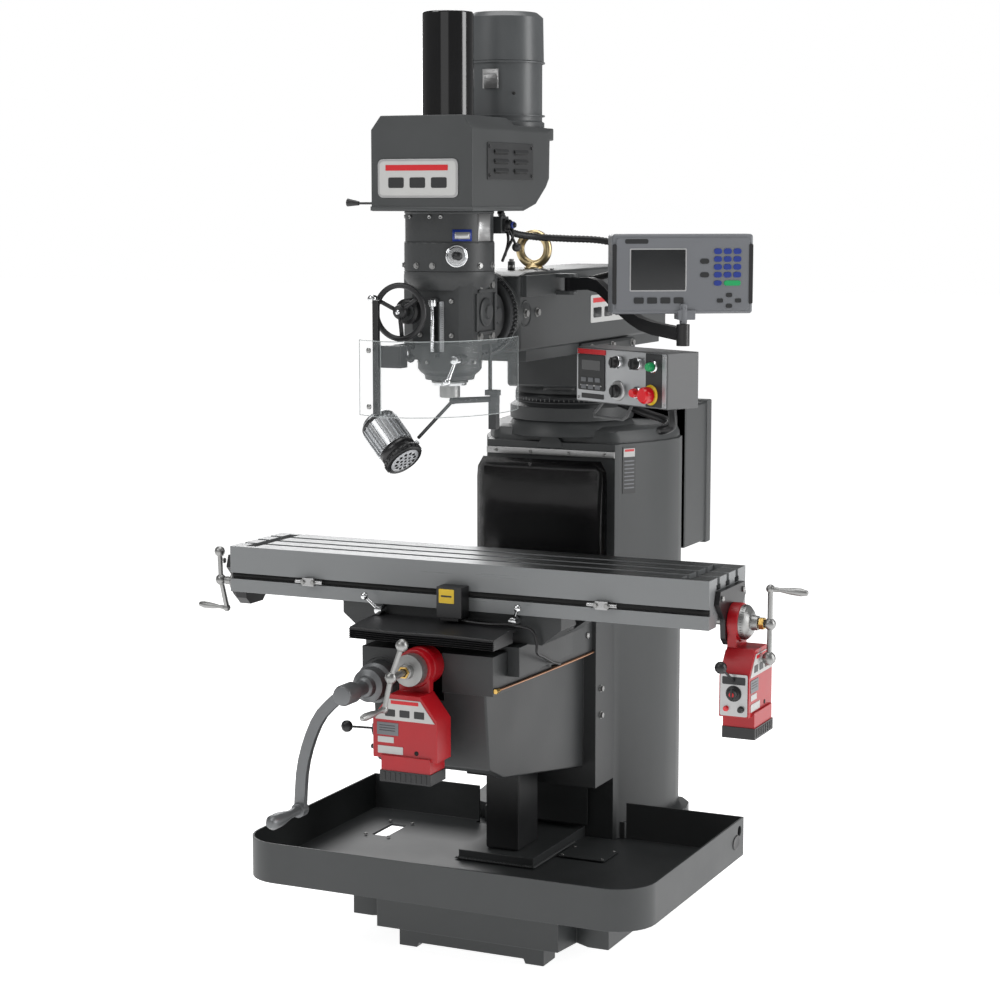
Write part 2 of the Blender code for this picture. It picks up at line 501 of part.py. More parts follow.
def make_ram():
    side = [(RAM_FRONT + 0.014, 1.508), (RAM_FRONT + 0.014, 1.69), (-0.31, RAM_TOP), (0.45, RAM_TOP), (RAM_BACK, 1.66), (RAM_BACK, 1.508)]
    body = extrusion(side, "X", -RAM_HALF_WIDTH, RAM_HALF_WIDTH, 0.008)
    slide = block((-0.09, -0.30, RAM_BOTTOM), (0.09, RAM_BACK - 0.03, 1.53))
    plate = cylinder((0, 0, HEAD_TILT_Z), (0, -1, 0), 0.103, 0.345, -RAM_FRONT, 32)
    hollow = block((-0.080, -0.2, 1.538), (0.080, 1.0, 1.672))
    bracket = block((0.095, -0.345, 1.640), (0.112, -0.125, 1.692))
    lugs = [cylinder((0.145, -0.15, 0), (0, 0, 1), 0.016, 1.640, 1.6495, 12), cylinder((0.145, -0.15, 0), (0, 0, 1), 0.016, 1.6825, 1.692, 12),
            block((0.108, -0.166, 1.640), (0.145, -0.134, 1.6495)), block((0.108, -0.166, 1.6825), (0.145, -0.134, 1.692))]
    stud = cylinder((0, -0.19, 0), (0, 0, 1), 0.009, 1.69, 1.722, 10)
    piece("ram", body, GREY, 0.45, 0.1, [slide, plate, bracket, stud] + lugs, [hollow])


def make_eye_bolt():
    profile = [(0.0385 + 0.011 * cos(a), 0.011 * sin(a)) for a in [-2 * pi * n / 8 for n in range(8)]]
    ring = turned(profile, (0, -0.052, 1.750), (0, -1, 0), 20, ring=True)
    neck = turned([(0, 1.716), (0.012, 1.716), (0.0175, 1.7065), (0.0175, RAM_TOP + GAP), (0, RAM_TOP + GAP)], (0, -0.052, 0), steps=16)
    piece("eye_bolt", ring, (0.6, 0.45, 0.2), 0.35, 0.9, [neck])


def make_knuckle():
    disc = cylinder((0, 0, HEAD_TILT_Z), (0, -1, 0), 0.093, -RAM_FRONT + GAP, 0.388, 28)
    tongue = block((-0.034, NOD_Y, HEAD_TILT_Z - 0.0395), (0.034, -0.38, HEAD_TILT_Z + 0.0395))
    eye = cylinder((0, NOD_Y, HEAD_TILT_Z), (1, 0, 0), 0.040, -0.034, 0.034, 20)
    piece("knuckle", disc, GREY, 0.45, 0.1, [tongue, eye], pivot=(0, RAM_FRONT, HEAD_TILT_Z))


# ---------------------------------------------------------------- head
def make_head():
    s = SPINDLE_Y
    lower = turned([(0, 1.56), (0.076, 1.56), (0.076, 1.478), (0.070, 1.470), (0.060, 1.462), (0.058, 1.452), (0, 1.452)], (0, s, 0), steps=28)
    upper = extrusion([(-0.098, -0.585), (-0.06, -0.615), (0.06, -0.615), (0.085, -0.59), (0.085, -0.455), (-0.098, -0.455)], "Z", 1.535, 1.700)
    neck = turned([(0, 1.7085), (0.107, 1.7085), (0.107, 1.69), (0.09, 1.665), (0, 1.665)], (0, s, 0), steps=28)
    ears = cylinder((0, NOD_Y, HEAD_TILT_Z), (1, 0, 0), 0.052, -0.080, 0.075, 20)
    boss = cylinder((-0.066, 0, 1.615), (0, -1, 0), 0.022, 0.56, 0.640, 16)
    lock = cylinder((0.055, 0, 1.503), (0, -1, 0), 0.013, 0.56, 0.612, 12)
    pod = block((-0.075, -0.60, 1.50), (-0.045, s, 1.56))
    j = LAMP_JOINT
    post = rod((j.x - 0.012, j.y, 1.560), (j.x - 0.012, j.y, j.z + 0.012), 0.005, None, 8)
    clamp = block((j.x - 0.022, j.y - 0.010, j.z + 0.0085), (j.x + 0.012, j.y + 0.010, j.z + 0.022))
    gap = block((-0.0345, -0.4885, HEAD_TILT_Z - 0.10), (0.0345, -0.30, HEAD_TILT_Z + 0.062))
    bore = cylinder((0, s, 0), (0, 0, 1), 0.0425, 1.40, 1.66, 24)
    slot = block((-0.006, -0.70, 1.515), (0.006, s, 1.645))
    piece("head_casting", lower, GREY, 0.45, 0.1, [upper, neck, ears, boss, lock, pod, post, clamp], [gap, bore, slot])


def make_gearbox():
    s = SPINDLE_Y
    body = turned([(0, COVER_BOTTOM - GAP), (0.104, COVER_BOTTOM - GAP), (0.104, 1.776), (0.1065, 1.774), (0.1065, 1.709), (0, 1.709)], (0, s, 0), steps=28)
    arm = extrusion([(-0.05, -0.50), (0.05, -0.50), (0.05, -0.40), (-0.05, -0.40)], "Z", 1.79, COVER_BOTTOM - GAP)
    valve = block((0.060, -0.475, 1.795), (0.104, -0.432, 1.835))
    piece("gearbox", body, GREY, 0.45, 0.1, [arm, valve])


def cover_side():
    return [(COVER_FRONT, COVER_BOTTOM), (-0.40, COVER_BOTTOM), (-0.33, 1.864), (-0.24, 1.925), (-0.235, 2.018), (-0.14, 2.018), (-0.13, 2.034),
            (-0.14, 2.047), (-0.43, 2.049), (-0.449, COVER_TOP), (COVER_FRONT, COVER_TOP)]


def make_cover():
    body = extrusion(cover_side(), "X", -COVER_HALF_WIDTH, COVER_HALF_WIDTH)
    cuts = []
    for side in (-1, 1):
        corner = [(side * (COVER_HALF_WIDTH + 0.01), 2.026), (side * (COVER_HALF_WIDTH + 0.01), 2.09), (side * 0.097, 2.09), (side * 0.105, 2.0665),
                  (side * COVER_HALF_WIDTH, 2.034)]
        cuts.append(extrusion(corner, "Y", COVER_FRONT - 0.01, 0.0))
    for side in (-1, 1):
        flank = [(side * (COVER_HALF_WIDTH + 0.02), -0.30), (side * COVER_HALF_WIDTH, -0.27), (side * 0.118, -0.20), (side * 0.085, -0.15), (side * 0.05, -0.10),
                 (side * (COVER_HALF_WIDTH + 0.02), -0.10)]
        cuts.append(extrusion(flank, "Z", 1.8, 2.1))
    inside = [(-0.678, 1.855), (-0.402, 1.855), (-0.335, 1.872), (-0.285, 1.906), (-0.285, 2.040), (-0.430, 2.040), (-0.455, 2.057), (-0.678, 2.057)]
    cuts.append(extrusion(inside, "X", -0.104, 0.104))
    cuts.append(cylinder((0, SPINDLE_Y, 0), (0, 0, 1), 0.03, 1.80, 1.90, 20))
    piece("belt_cover", body, GREY, 0.4, 0.1, cuts=cuts)


def make_motor():
    base = COVER_TOP - 0.0165
    profile = [(0, MOTOR_TOP), (0.080, MOTOR_TOP), (0.0945, MOTOR_TOP - 0.012), (0.0965, 2.21), (MOTOR_RADIUS, 2.205), (MOTOR_RADIUS, 2.065), (0.098, 2.062),
               (0.098, base), (0, base)]
    piece("motor", turned(profile, (0, MOTOR_Y, 0), steps=28), (0.2, 0.21, 0.22), 0.45, 0.1)
    tube_profile = [(0, 2.307), (0.058, 2.307), (0.0607, 2.303), (0.0607, COVER_TOP + GAP), (0, COVER_TOP + GAP)]
    piece("drawbar_tube", turned(tube_profile, (0, SPINDLE_Y - 0.005, 0), steps=28), BLACK, 0.3, 0.0)


def make_head_controls():
    c = Vector((-0.066, -0.668, 1.615))
    rim = turned([(0.062 + 0.0065 * cos(a), 0.0065 * sin(a)) for a in [-2 * pi * n / 6 for n in range(6)]], c, (0, -1, 0), 24, ring=True)
    hub = turned([(0, 0.010), (0.014, 0.008), (0.017, 0.0), (0.013, -0.0275), (0, -0.0275)], c, (0, -1, 0), 16)
    spokes = [rod(c, c + Vector((0.060 * cos(a), 0, 0.060 * sin(a))), 0.005, None, 8) for a in (radians(155), radians(275), radians(35))]
    tip = c + Vector((0.062 * cos(radians(150)), 0, 0.062 * sin(radians(150))))
    knob = [rod(tip, tip + Vector((0, -0.030, 0)), 0.004, None, 8), ball(tip + Vector((0, -0.034, 0)), 0.011)]
    piece("handwheel", rim, BLACK, 0.35, 0.0, [hub] + spokes + knob, pivot=c)
    a = Vector((-0.062, -0.627, 1.533))
    hub = cylinder(a, (0, -1, 0), 0.010, -0.0105, 0.010, 12)
    piece("feed_lever", hub, BLACK, 0.35, 0.0, [rod(a + Vector((0, -0.005, 0)), a + Vector((0.009, -0.015, -0.022)), 0.004, None, 8),
                                                ball(a + Vector((0.011, -0.017, -0.027)), 0.0105)], pivot=a)
    a = Vector((0.055, -0.6205, 1.503))
    hub = turned([(0, 0.012), (0.010, 0.010), (0.011, -0.008), (0, -0.008)], a, (0, -1, 0), 12)
    tip = a + Vector((-0.010, -0.026, -0.050))
    piece("quill_lock", hub, STEEL, 0.15, 1.0, [rod(a, tip, 0.004, 0.006, 8), ball(tip, 0.0095)], pivot=a)
    out = Vector((sin(radians(35)), -cos(radians(35)), 0))
    a = Vector((0, SPINDLE_Y, 1.745)) + out * 0.1075
    disc = cylinder(a, out, 0.021, 0, 0.006, 20)
    piece("range_selector", disc, STEEL, 0.2, 1.0, [rod(a, a + out * 0.018, 0.006, None, 10), ball(a + out * 0.022, 0.0085)], pivot=a)
    a = Vector((-COVER_HALF_WIDTH - 0.001, -0.66, 1.866))
    piece("brake_lever", rod(a, a + Vector((-0.050, 0, 0.0)), 0.003, None, 8), BLACK, 0.4, 0.0,
          [rod(a + Vector((-0.045, 0, 0)), a + Vector((-0.075, 0, 0.002)), 0.005, 0.010, 10)], pivot=a)


def make_quill():
    s = SPINDLE_Y
    body = turned([(0, 1.652), (0.0415, 1.652), (0.0415, 1.452), (0.040, 1.438), (0, 1.438)], (0, s, 0), steps=28)
    stop = block((-0.005, s - 0.085, 1.631), (0.005, s, 1.640))
    nut = cylinder((0, s - 0.092, 0), (0, 0, 1), 0.010, 1.628, 1.643, 12)
    bore = cylinder((0, s, 0), (0, 0, 1), 0.0185, 1.40, 1.62, 20)
    piece("quill", body, STEEL, 0.25, 1.0, [stop, nut], [bore])
    nose = turned([(0, 1.605), (0.018, 1.605), (0.018, 1.4375), (0.0235, 1.4375), (0.0245, 1.434), (0.0245, NOSE_Z + 0.002), (0.023, NOSE_Z), (0, NOSE_Z)],
                  (0, s, 0), steps=24)
    socket = turned([(0, 1.50), (0.012, 1.50), (0.012, 1.43), (0.0158, NOSE_Z - 0.004), (0, NOSE_Z - 0.004)], (0, s, 0), steps=20)
    piece("spindle", nose, STEEL, 0.2, 1.0, cuts=[socket])


def make_guard():
    rail = block((-0.098, -0.745, 1.381), (-0.084, -0.733, 1.645))
    box = block((-0.0975, -0.7345, 1.489), (-0.030, -0.700, 1.540))
    tie = block((-0.092, -0.71, 1.5255), (-0.082, -0.5980, 1.5385))
    piece("guard_rail", rail, BLACK, 0.4, 0.3, [box, tie])
    plan = [Vector((-0.136, -0.738, 0)), Vector((-0.062, -0.776, 0))]
    plan += smooth([(-0.055, -0.778, 0), (0.01, -0.766, 0), (0.07, -0.728, 0), (0.115, -0.665, 0), (0.138, -0.590, 0), (0.145, -0.520, 0), (0.135, -0.445, 0)], 13)
    inner = []
    for i, p in enumerate(plan):
        run = (plan[min(i + 1, len(plan) - 1)] - plan[max(i - 1, 0)]).normalized()
        inner.append((p.x - run.y * 0.003, p.y + run.x * 0.003))
    outline = [(p.x, p.y) for p in plan] + inner[::-1]
    piece("guard_shield", extrusion(outline, "Z", 1.378, 1.553), (0.8, 0.85, 0.85), 0.05, 0.0, pivot=(-0.091, -0.739, 1.46))


def make_lamp():
    j = LAMP_JOINT
    bar = rod(j + Vector((0, 0, 0)), LAMP_ELBOW, 0.0075, None, 8)
    knuckle = cylinder(j, (0, 0, 1), 0.012, -0.012, 0.008, 12)
    tail = block((j.x - 0.012, j.y - 0.011, j.z - 0.072), (j.x + 0.008, j.y + 0.011, j.z - 0.005))
    piece("lamp_arm", knuckle, (0.3, 0.3, 0.3), 0.4, 0.6, [bar, tail, ball(LAMP_ELBOW, 0.0095), rod(LAMP_ELBOW, LAMP_NECK, 0.0045, None, 8)], pivot=j)
    lens = Vector((-0.142, -0.50, 1.246))
    body = turned([(0, 0.138), (0.036, 0.138), (0.043, 0.130), (0.043, 0.018), (0.047, 0.014), (0.047, 0.0), (0, 0.0)], lens, -LAMP_AXIS, 20)
    side = (LAMP_NECK - lens) - LAMP_AXIS * (LAMP_NECK - lens).dot(LAMP_AXIS)
    a = lens - LAMP_AXIS * 0.018 + side.normalized() * 0.040
    lug = rod(a, a + side.normalized() * 0.014, 0.006, None, 8)
    return body, lug


def make_lamp_head():
    body, lug = make_lamp()
    piece("lamp_head", body, (0.8, 0.8, 0.8), 0.3, 0.6, [lug], [ball(LAMP_NECK, 0.0085, 12)], pivot=LAMP_NECK)


# ---------------------------------------------------------------- readout and pendant
READOUT_YAW = 0.571
BOX_YAW = -0.483
READOUT_POST = Vector((0.499, -0.30, 1.557))
BOX_BACK = Vector((0.387, -0.211, 1.45))
PENDANT_PIVOT = Vector((0.178, 0.06, 1.43))


def make_readout():
    path = [(0.145, -0.150, 1.666), (0.23, -0.19, 1.666), (0.30, -0.215, 1.618), (0.38, -0.25, 1.575), (0.499, -0.30, 1.557)]
    curve = smooth(path, 12)
    top, bottom = [], []
    flat = [(Vector((p.x, p.y)) - Vector((0.145, -0.150))).length for p in curve]
    for d, p in zip(flat, curve):
        top.append((d, p.z + 0.0155))
        bottom.append((d, p.z - 0.0155))
    run = (Vector(path[-1]) - Vector(path[0]))
    angle = Vector((run.x, run.y)).angle_signed(Vector((1, 0)))
    arm = extrusion(top + bottom[::-1], "Y", -0.011, 0.011)
    moved([arm], Matrix.Translation((0.145, -0.150, 0)) @ Matrix.Rotation(angle, 4, "Z"))
    eye = cylinder((0.145, -0.150, 0), (0, 0, 1), 0.016, 1.650, 1.682, 12)
    end = cylinder((READOUT_POST.x, READOUT_POST.y, 0), (0, 0, 1), 0.016, 1.530, 1.5815, 12)
    piece("readout_arm", solid(arm), BLACK, 0.4, 0.1, [eye, end], pivot=(0.145, -0.150, 1.666))
    turn = Matrix.Translation((0.497, -0.30, 1.700)) @ Matrix.Rotation(READOUT_YAW, 4, "Z")
    body = block((-0.170, 0.0, -0.094), (0.170, 0.058, 0.094), 0.006, 2)
    moved([body], turn)
    local = turn.inverted() @ Vector((READOUT_POST.x, READOUT_POST.y, 1.60))
    neck = rod((READOUT_POST.x, READOUT_POST.y, 1.582), (READOUT_POST.x, READOUT_POST.y, 1.63), 0.009, None, 12)
    foot = moved([block((-0.012, -0.008, -0.108), (0.030, 0.040, -0.085))], turn)[0]
    piece("readout", body, (0.35, 0.36, 0.38), 0.4, 0.0, [neck, foot], pivot=(READOUT_POST.x, READOUT_POST.y, 1.59))


def box_point(x, y, z):
    """A point in the control box's own frame: x across, y out of its front, z up."""
    return Matrix.Translation((0.341, -0.300, 1.450)) @ Matrix.Rotation(BOX_YAW, 4, "Z") @ Vector((x, -y, z))


def make_control_box():
    out = (box_point(0, 1, 0) - box_point(0, 0, 0)).normalized()
    turn = Matrix.Translation((0.341, -0.300, 1.450)) @ Matrix.Rotation(BOX_YAW, 4, "Z")
    body = moved([block((-0.1685, 0.0, -0.067), (0.1685, 0.1, 0.067), 0.002, 1)], turn)[0]
    holes = [cylinder(box_point(x, 0, z), out, r + GAP, -0.012, 0.02, 14) for x, z, r in
             ((0.120, 0.0325, 0.0085), (0.062, -0.033, 0.0085), (0.112, -0.035, 0.0085), (0.060, 0.036, 0.006), (-0.012, 0.036, 0.006), (-0.008, -0.033, 0.006))]
    handle = tube([box_point(*p) for p in ((-0.075, -0.014, -0.06), (-0.085, 0.012, -0.092), (-0.078, 0.016, -0.099), (0.028, 0.016, -0.099),
                                           (0.036, 0.012, -0.092), (0.030, -0.014, -0.06))], 0.004)
    pivot = BOX_BACK - out * 0.025
    across = (turn.inverted() @ pivot).x
    lugs = []
    for low, high in ((-0.031, -0.0185), (0.0185, 0.031)):
        lugs.append(moved([block((across - 0.013, 0.098, low), (across + 0.013, 0.125, high))], turn)[0])
        lugs.append(cylinder((pivot.x, pivot.y, pivot.z), (0, 0, 1), 0.0145, low - 0.0003, high + 0.0003, 12))
    holes.append(moved([block((-0.1645, 0.004, -0.063), (0.1645, 0.096, 0.063))], turn)[0])
    holes.append(cylinder(box_point(0.13, -0.05, 0), (0, 0, 1), 0.008, -0.08, -0.05, 12))
    piece("control_box", body, (0.45, 0.45, 0.46), 0.35, 0.7, [handle] + lugs, holes, pivot=pivot)
    for name, x, z, r, length, colour, cap in (("start_button", 0.120, 0.0325, 0.0085, 0.010, (0.0, 0.3, 0.08), 0.011),
                                               ("stop_button", 0.062, -0.033, 0.0085, 0.010, (0.6, 0.0, 0.02), 0.011),
                                               ("emergency_button", 0.112, -0.035, 0.0085, 0.020, (0.7, 0.01, 0.01), 0.020),
                                               ("mode_selector", 0.060, 0.036, 0.006, 0.008, BLACK, 0.013),
                                               ("direction_selector", -0.012, 0.036, 0.006, 0.008, BLACK, 0.013),
                                               ("speed_dial", -0.008, -0.033, 0.006, 0.008, BLACK, 0.014)):
        travel = 0.006
        profile = [(0, length + travel + 0.006), (cap * 0.8, length + travel + 0.006), (cap, length + travel), (cap, travel + 0.002), (r, travel + 0.002),
                   (r, -0.004), (0, -0.004)]
        knob = turned(profile, box_point(x, 0, z), out, 16)
        piece(name, knob, colour, 0.35, 0.0, pivot=box_point(x, 0, z))


def make_pendant_arm():
    out = (box_point(0, 1, 0) - box_point(0, 0, 0)).normalized()
    end = BOX_BACK - out * 0.025
    curve = smooth([PENDANT_PIVOT, (0.26, 0.02, 1.43), (0.33, -0.06, 1.435), (0.385, -0.13, 1.45), tuple(end)], 10)
    hub = cylinder((PENDANT_PIVOT.x, PENDANT_PIVOT.y, 0), (0, 0, 1), 0.017, 1.413, 1.447, 12)
    tip = cylinder((end.x, end.y, 0), (0, 0, 1), 0.018, 1.432, 1.468, 12)
    piece("pendant_arm", hub, BLACK, 0.4, 0.2, [tube(curve, 0.011), tip], pivot=PENDANT_PIVOT)


def make_cords():
    path = smooth([(0.060, -0.385, 1.847), (0.066, -0.345, 1.80), (0.10, -0.275, 1.785), (0.16, -0.22, 1.780), (0.235, -0.17, 1.775), (0.29, -0.12, 1.755),
                   (0.26, -0.03, 1.715), (0.19, 0.03, 1.69), (0.105, 0.06, 1.67)], 24)
    piece("head_conduit", tube(path, 0.009), BLACK, 0.5, 0.0)
    a = box_point(0.13, -0.05, -0.0705)
    path = smooth([tuple(a), tuple(a + Vector((0, 0, -0.04))), (a.x - 0.04, a.y + 0.03, 1.325), (0.36, -0.02, 1.318), (0.26, 0.05, 1.335), (0.18, 0.10, 1.35)], 16)
    piece("pendant_conduit", tube(path, 0.011), BLACK, 0.5, 0.0)
    path = smooth([(0.0508, -0.590, 0.8835), (0.080, -0.594, 0.8805), (0.130, -0.596, 0.8795), (0.185, -0.585, 0.880), (0.225, -0.565, 0.868),
                   (0.236, -0.560, 0.836), (0.236, -0.556, 0.812), (0.228, -0.500, 0.792), (0.2155, -0.420, 0.764), (0.2110, -0.365, 0.7475), (0.1785, -0.335, 0.735)], 20)
    piece("limit_cable", tube(path, 0.0033), BLACK, 0.5, 0.0)


make_base()
make_tray()
make_column()
make_cover_sheets()
make_cabinet()
make_post()
make_knee()
make_cross_feed()
make_knee_crank()
make_saddle()
make_way_cover()
make_saddle_fittings()
make_table()
make_end_brackets()
make_long_feed()
make_turret()
make_ram()
make_eye_bolt()
make_knuckle()
make_head()
make_gearbox()
make_cover()
make_motor()
make_head_controls()
make_quill()
make_guard()
make_lamp_head()
make_readout()
make_control_box()
make_pendant_arm()
make_cords()
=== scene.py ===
from math import cos, pi, radians, sin, tau

import bmesh
import bpy
from mathutils import Matrix, Vector


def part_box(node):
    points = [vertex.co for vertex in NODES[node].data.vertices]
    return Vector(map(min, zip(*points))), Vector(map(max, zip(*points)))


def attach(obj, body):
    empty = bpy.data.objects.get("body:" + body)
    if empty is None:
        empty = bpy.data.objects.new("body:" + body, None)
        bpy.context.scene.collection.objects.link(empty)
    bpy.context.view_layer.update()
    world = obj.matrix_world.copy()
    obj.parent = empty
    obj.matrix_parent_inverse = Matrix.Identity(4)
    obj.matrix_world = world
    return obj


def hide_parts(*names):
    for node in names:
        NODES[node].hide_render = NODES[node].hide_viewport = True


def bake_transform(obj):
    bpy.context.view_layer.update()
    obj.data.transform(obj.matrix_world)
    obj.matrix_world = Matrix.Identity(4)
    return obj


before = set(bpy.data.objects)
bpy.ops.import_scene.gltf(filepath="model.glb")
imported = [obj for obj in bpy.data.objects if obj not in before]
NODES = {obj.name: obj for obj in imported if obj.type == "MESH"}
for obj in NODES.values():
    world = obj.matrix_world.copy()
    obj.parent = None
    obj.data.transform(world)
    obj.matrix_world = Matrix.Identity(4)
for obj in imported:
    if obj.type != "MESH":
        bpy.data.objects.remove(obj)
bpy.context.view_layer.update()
X, Y, Z = Vector((1, 0, 0)), Vector((0, 1, 0)), Vector((0, 0, 1))


# ---------------------------------------------------------------- camera, light and floor
# The photograph's view, solved from the machine's upright and level edges.
FOCAL_MM, SENSOR_MM = 81.76, 36.0
CAMERA_PLACE = (2.3796, -5.3749, 1.8705)
CAMERA_AZIMUTH, CAMERA_ELEVATION = 24.937, 7.491

# Each light: place, width and height, power in watts. All of them face AIM.
AIM = Vector((0, 0, 1.1))
SOFTBOXES = {
    "key": ((-2.2, -3.8, 4.2), (2.2, 2.2), 62),
    "side": ((4.6, 0.6, 2.4), (1.6, 3.6), 105),
    "front": ((1.0, -5.5, 2.2), (3.0, 2.0), 12),
    "top": ((0.0, -0.2, 5.0), (3.0, 3.0), 85),
    "back": ((-2.6, 3.6, 3.2), (2.4, 2.4), 80),
}
AMBIENT = 0.20  # the world's strength in reflections; the camera sees it white
FLOOR_GLOW = 0.90  # lifts the floor to the photograph's white
FLOOR_HALF = 40


def camera():
    data = bpy.data.cameras.new("photo_camera")
    data.lens = FOCAL_MM
    data.sensor_width = SENSOR_MM
    data.clip_end = 200.0
    obj = bpy.data.objects.new("photo_camera", data)
    azimuth, elevation = radians(CAMERA_AZIMUTH), radians(CAMERA_ELEVATION)
    look = Vector((-sin(azimuth) * cos(elevation), cos(azimuth) * cos(elevation), -sin(elevation)))
    obj.location = CAMERA_PLACE
    obj.rotation_euler = look.to_track_quat("-Z", "Y").to_euler()
    bpy.context.scene.collection.objects.link(obj)
    bpy.context.scene.camera = obj


def softbox(name, place, size, watts):
    data = bpy.data.lights.new(name, "AREA")
    data.shape = "RECTANGLE"
    data.size, data.size_y = size
    data.energy = watts
    obj = bpy.data.objects.new(name, data)
    obj.location = place
    obj.rotation_euler = (AIM - Vector(place)).to_track_quat("-Z", "Y").to_euler()
    bpy.context.scene.collection.objects.link(obj)


def studio():
    for name, (place, size, watts) in SOFTBOXES.items():
        softbox(name, place, size, watts)
    world = bpy.data.worlds.new("studio")
    world.use_nodes = True
    tree = world.node_tree
    seen = tree.nodes.new("ShaderNodeLightPath")
    level = tree.nodes.new("ShaderNodeMapRange")
    level.inputs["To Min"].default_value = AMBIENT
    level.inputs["To Max"].default_value = 1.0
    tree.links.new(seen.outputs["Is Camera Ray"], level.inputs["Value"])
    tree.nodes["Background"].inputs["Color"].default_value = (1, 1, 1, 1)
    tree.links.new(level.outputs["Result"], tree.nodes["Background"].inputs["Strength"])
    bpy.context.scene.world = world
    bm = bmesh.new()
    bmesh.ops.create_grid(bm, x_segments=2, y_segments=2, size=FLOOR_HALF)
    mesh = bpy.data.meshes.new("floor")
    bm.to_mesh(mesh)
    bm.free()
    floor = bpy.data.objects.new("floor", mesh)
    floor.location.z = -0.0005
    bpy.context.scene.collection.objects.link(floor)
    paint = surface("floor_paint", (0.80, 0.80, 0.80), 0.95, vary=0.0, bump=0.0, rough_vary=0.0)
    shader = paint.node_tree.nodes["Principled BSDF"]
    shader.inputs["Specular IOR Level"].default_value = 0.0
    shader.inputs["Emission Color"].default_value = (1, 1, 1, 1)
    shader.inputs["Emission Strength"].default_value = FLOOR_GLOW
    floor.data.materials.append(paint)
    bpy.context.scene.view_settings.view_transform = "Standard"


# ---------------------------------------------------------------- materials
def surface(name, colour, rough, metal=0.0, vary=0.12, grain=260.0, bump=0.12,
            stretch=(1, 1, 1), coat=0.0, wear=0.0, rough_vary=0.08):
    """A procedural finish: mottled colour, uneven gloss, fine bump and, if worn, lighter edges."""
    mat = bpy.data.materials.new(name)
    mat.use_nodes = True
    tree = mat.node_tree
    bsdf = tree.nodes["Principled BSDF"]

    def node(kind, **values):
        made = tree.nodes.new(kind)
        for key, value in values.items():
            if hasattr(made, key) and key not in made.inputs:
                setattr(made, key, value)
            else:
                made.inputs[key].default_value = value
        return made

    bsdf.inputs["Metallic"].default_value = metal
    if coat:
        bsdf.inputs["Coat Weight"].default_value = coat
        bsdf.inputs["Coat Roughness"].default_value = 0.08
    coords = node("ShaderNodeTexCoord")
    mapping = node("ShaderNodeMapping")
    mapping.inputs["Scale"].default_value = stretch
    tree.links.new(coords.outputs["Object"], mapping.inputs["Vector"])
    broad = node("ShaderNodeTexNoise", Scale=7.0, Detail=4.0, Roughness=0.6)
    fine = node("ShaderNodeTexNoise", Scale=grain, Detail=3.0, Roughness=0.55)
    for noise in (broad, fine):
        tree.links.new(mapping.outputs["Vector"], noise.inputs["Vector"])
    shade = node("ShaderNodeValToRGB")
    shade.color_ramp.elements[0].position = 0.3
    shade.color_ramp.elements[1].position = 0.7
    shade.color_ramp.elements[0].color = (*(c * (1 - vary) for c in colour), 1)
    shade.color_ramp.elements[1].color = (*(min(1, c * (1 + vary)) for c in colour), 1)
    tree.links.new(broad.outputs["Fac"], shade.inputs["Fac"])
    colour_out = shade.outputs["Color"]
    if wear:
        geometry = node("ShaderNodeNewGeometry")
        edge = node("ShaderNodeMapRange")
        edge.inputs["From Min"].default_value = 0.54
        edge.inputs["From Max"].default_value = 0.70
        edge.inputs["To Max"].default_value = wear
        tree.links.new(geometry.outputs["Pointiness"], edge.inputs["Value"])
        mix = node("ShaderNodeMix", data_type="RGBA")
        mix.inputs[7].default_value = (*(min(1, c * 1.8 + 0.04) for c in colour), 1)
        tree.links.new(edge.outputs["Result"], mix.inputs[0])
        tree.links.new(colour_out, mix.inputs[6])
        colour_out = mix.outputs[2]
    tree.links.new(colour_out, bsdf.inputs["Base Color"])
    gloss = node("ShaderNodeMapRange")
    gloss.inputs["To Min"].default_value = max(0.02, rough - rough_vary)
    gloss.inputs["To Max"].default_value = min(1.0, rough + rough_vary)
    tree.links.new(broad.outputs["Fac"], gloss.inputs["Value"])
    tree.links.new(gloss.outputs["Result"], bsdf.inputs["Roughness"])
    if bump:
        relief = node("ShaderNodeBump", Strength=bump, Distance=0.0006)
        tree.links.new(fine.outputs["Fac"], relief.inputs["Height"])
        tree.links.new(relief.outputs["Normal"], bsdf.inputs["Normal"])
    return mat


GREY = surface("grey_enamel", (0.040, 0.043, 0.044), 0.46, vary=0.10, grain=420, bump=0.10,
               wear=0.35)
GREY_CAST = surface("grey_enamel_cast", (0.027, 0.029, 0.030), 0.46, vary=0.15, grain=160,
                    bump=0.35, wear=0.35)
GREY_DARK = surface("dark_grey_enamel", (0.018, 0.019, 0.020), 0.40, vary=0.12, grain=300,
                    bump=0.15, wear=0.3)
MOTOR = surface("motor_enamel", (0.075, 0.080, 0.083), 0.35, vary=0.08, grain=420, bump=0.08,
                wear=0.3)
RED = surface("red_enamel", (0.38, 0.0004, 0.006), 0.34, vary=0.08, grain=300, bump=0.06, coat=0.04,
              wear=0.02)
BLACK = surface("black_enamel", (0.008, 0.008, 0.009), 0.32, vary=0.2, grain=300, bump=0.12,
                wear=0.12)
TUBE = surface("black_gloss", (0.004, 0.004, 0.0045), 0.14, vary=0.2, grain=500, bump=0.03,
               coat=0.5)
PLASTIC = surface("black_plastic", (0.012, 0.012, 0.013), 0.38, vary=0.15, grain=700, bump=0.15)
RUBBER = surface("black_rubber", (0.010, 0.010, 0.011), 0.42, vary=0.25, grain=240, bump=0.3)
SHEET = surface("black_sheet", (0.006, 0.006, 0.0065), 0.20, vary=0.2, grain=60, bump=0.15,
                coat=0.4)
STEEL = surface("turned_steel", (0.38, 0.38, 0.38), 0.28, 1.0, vary=0.12, grain=500, bump=0.10,
                stretch=(1, 1, 6))
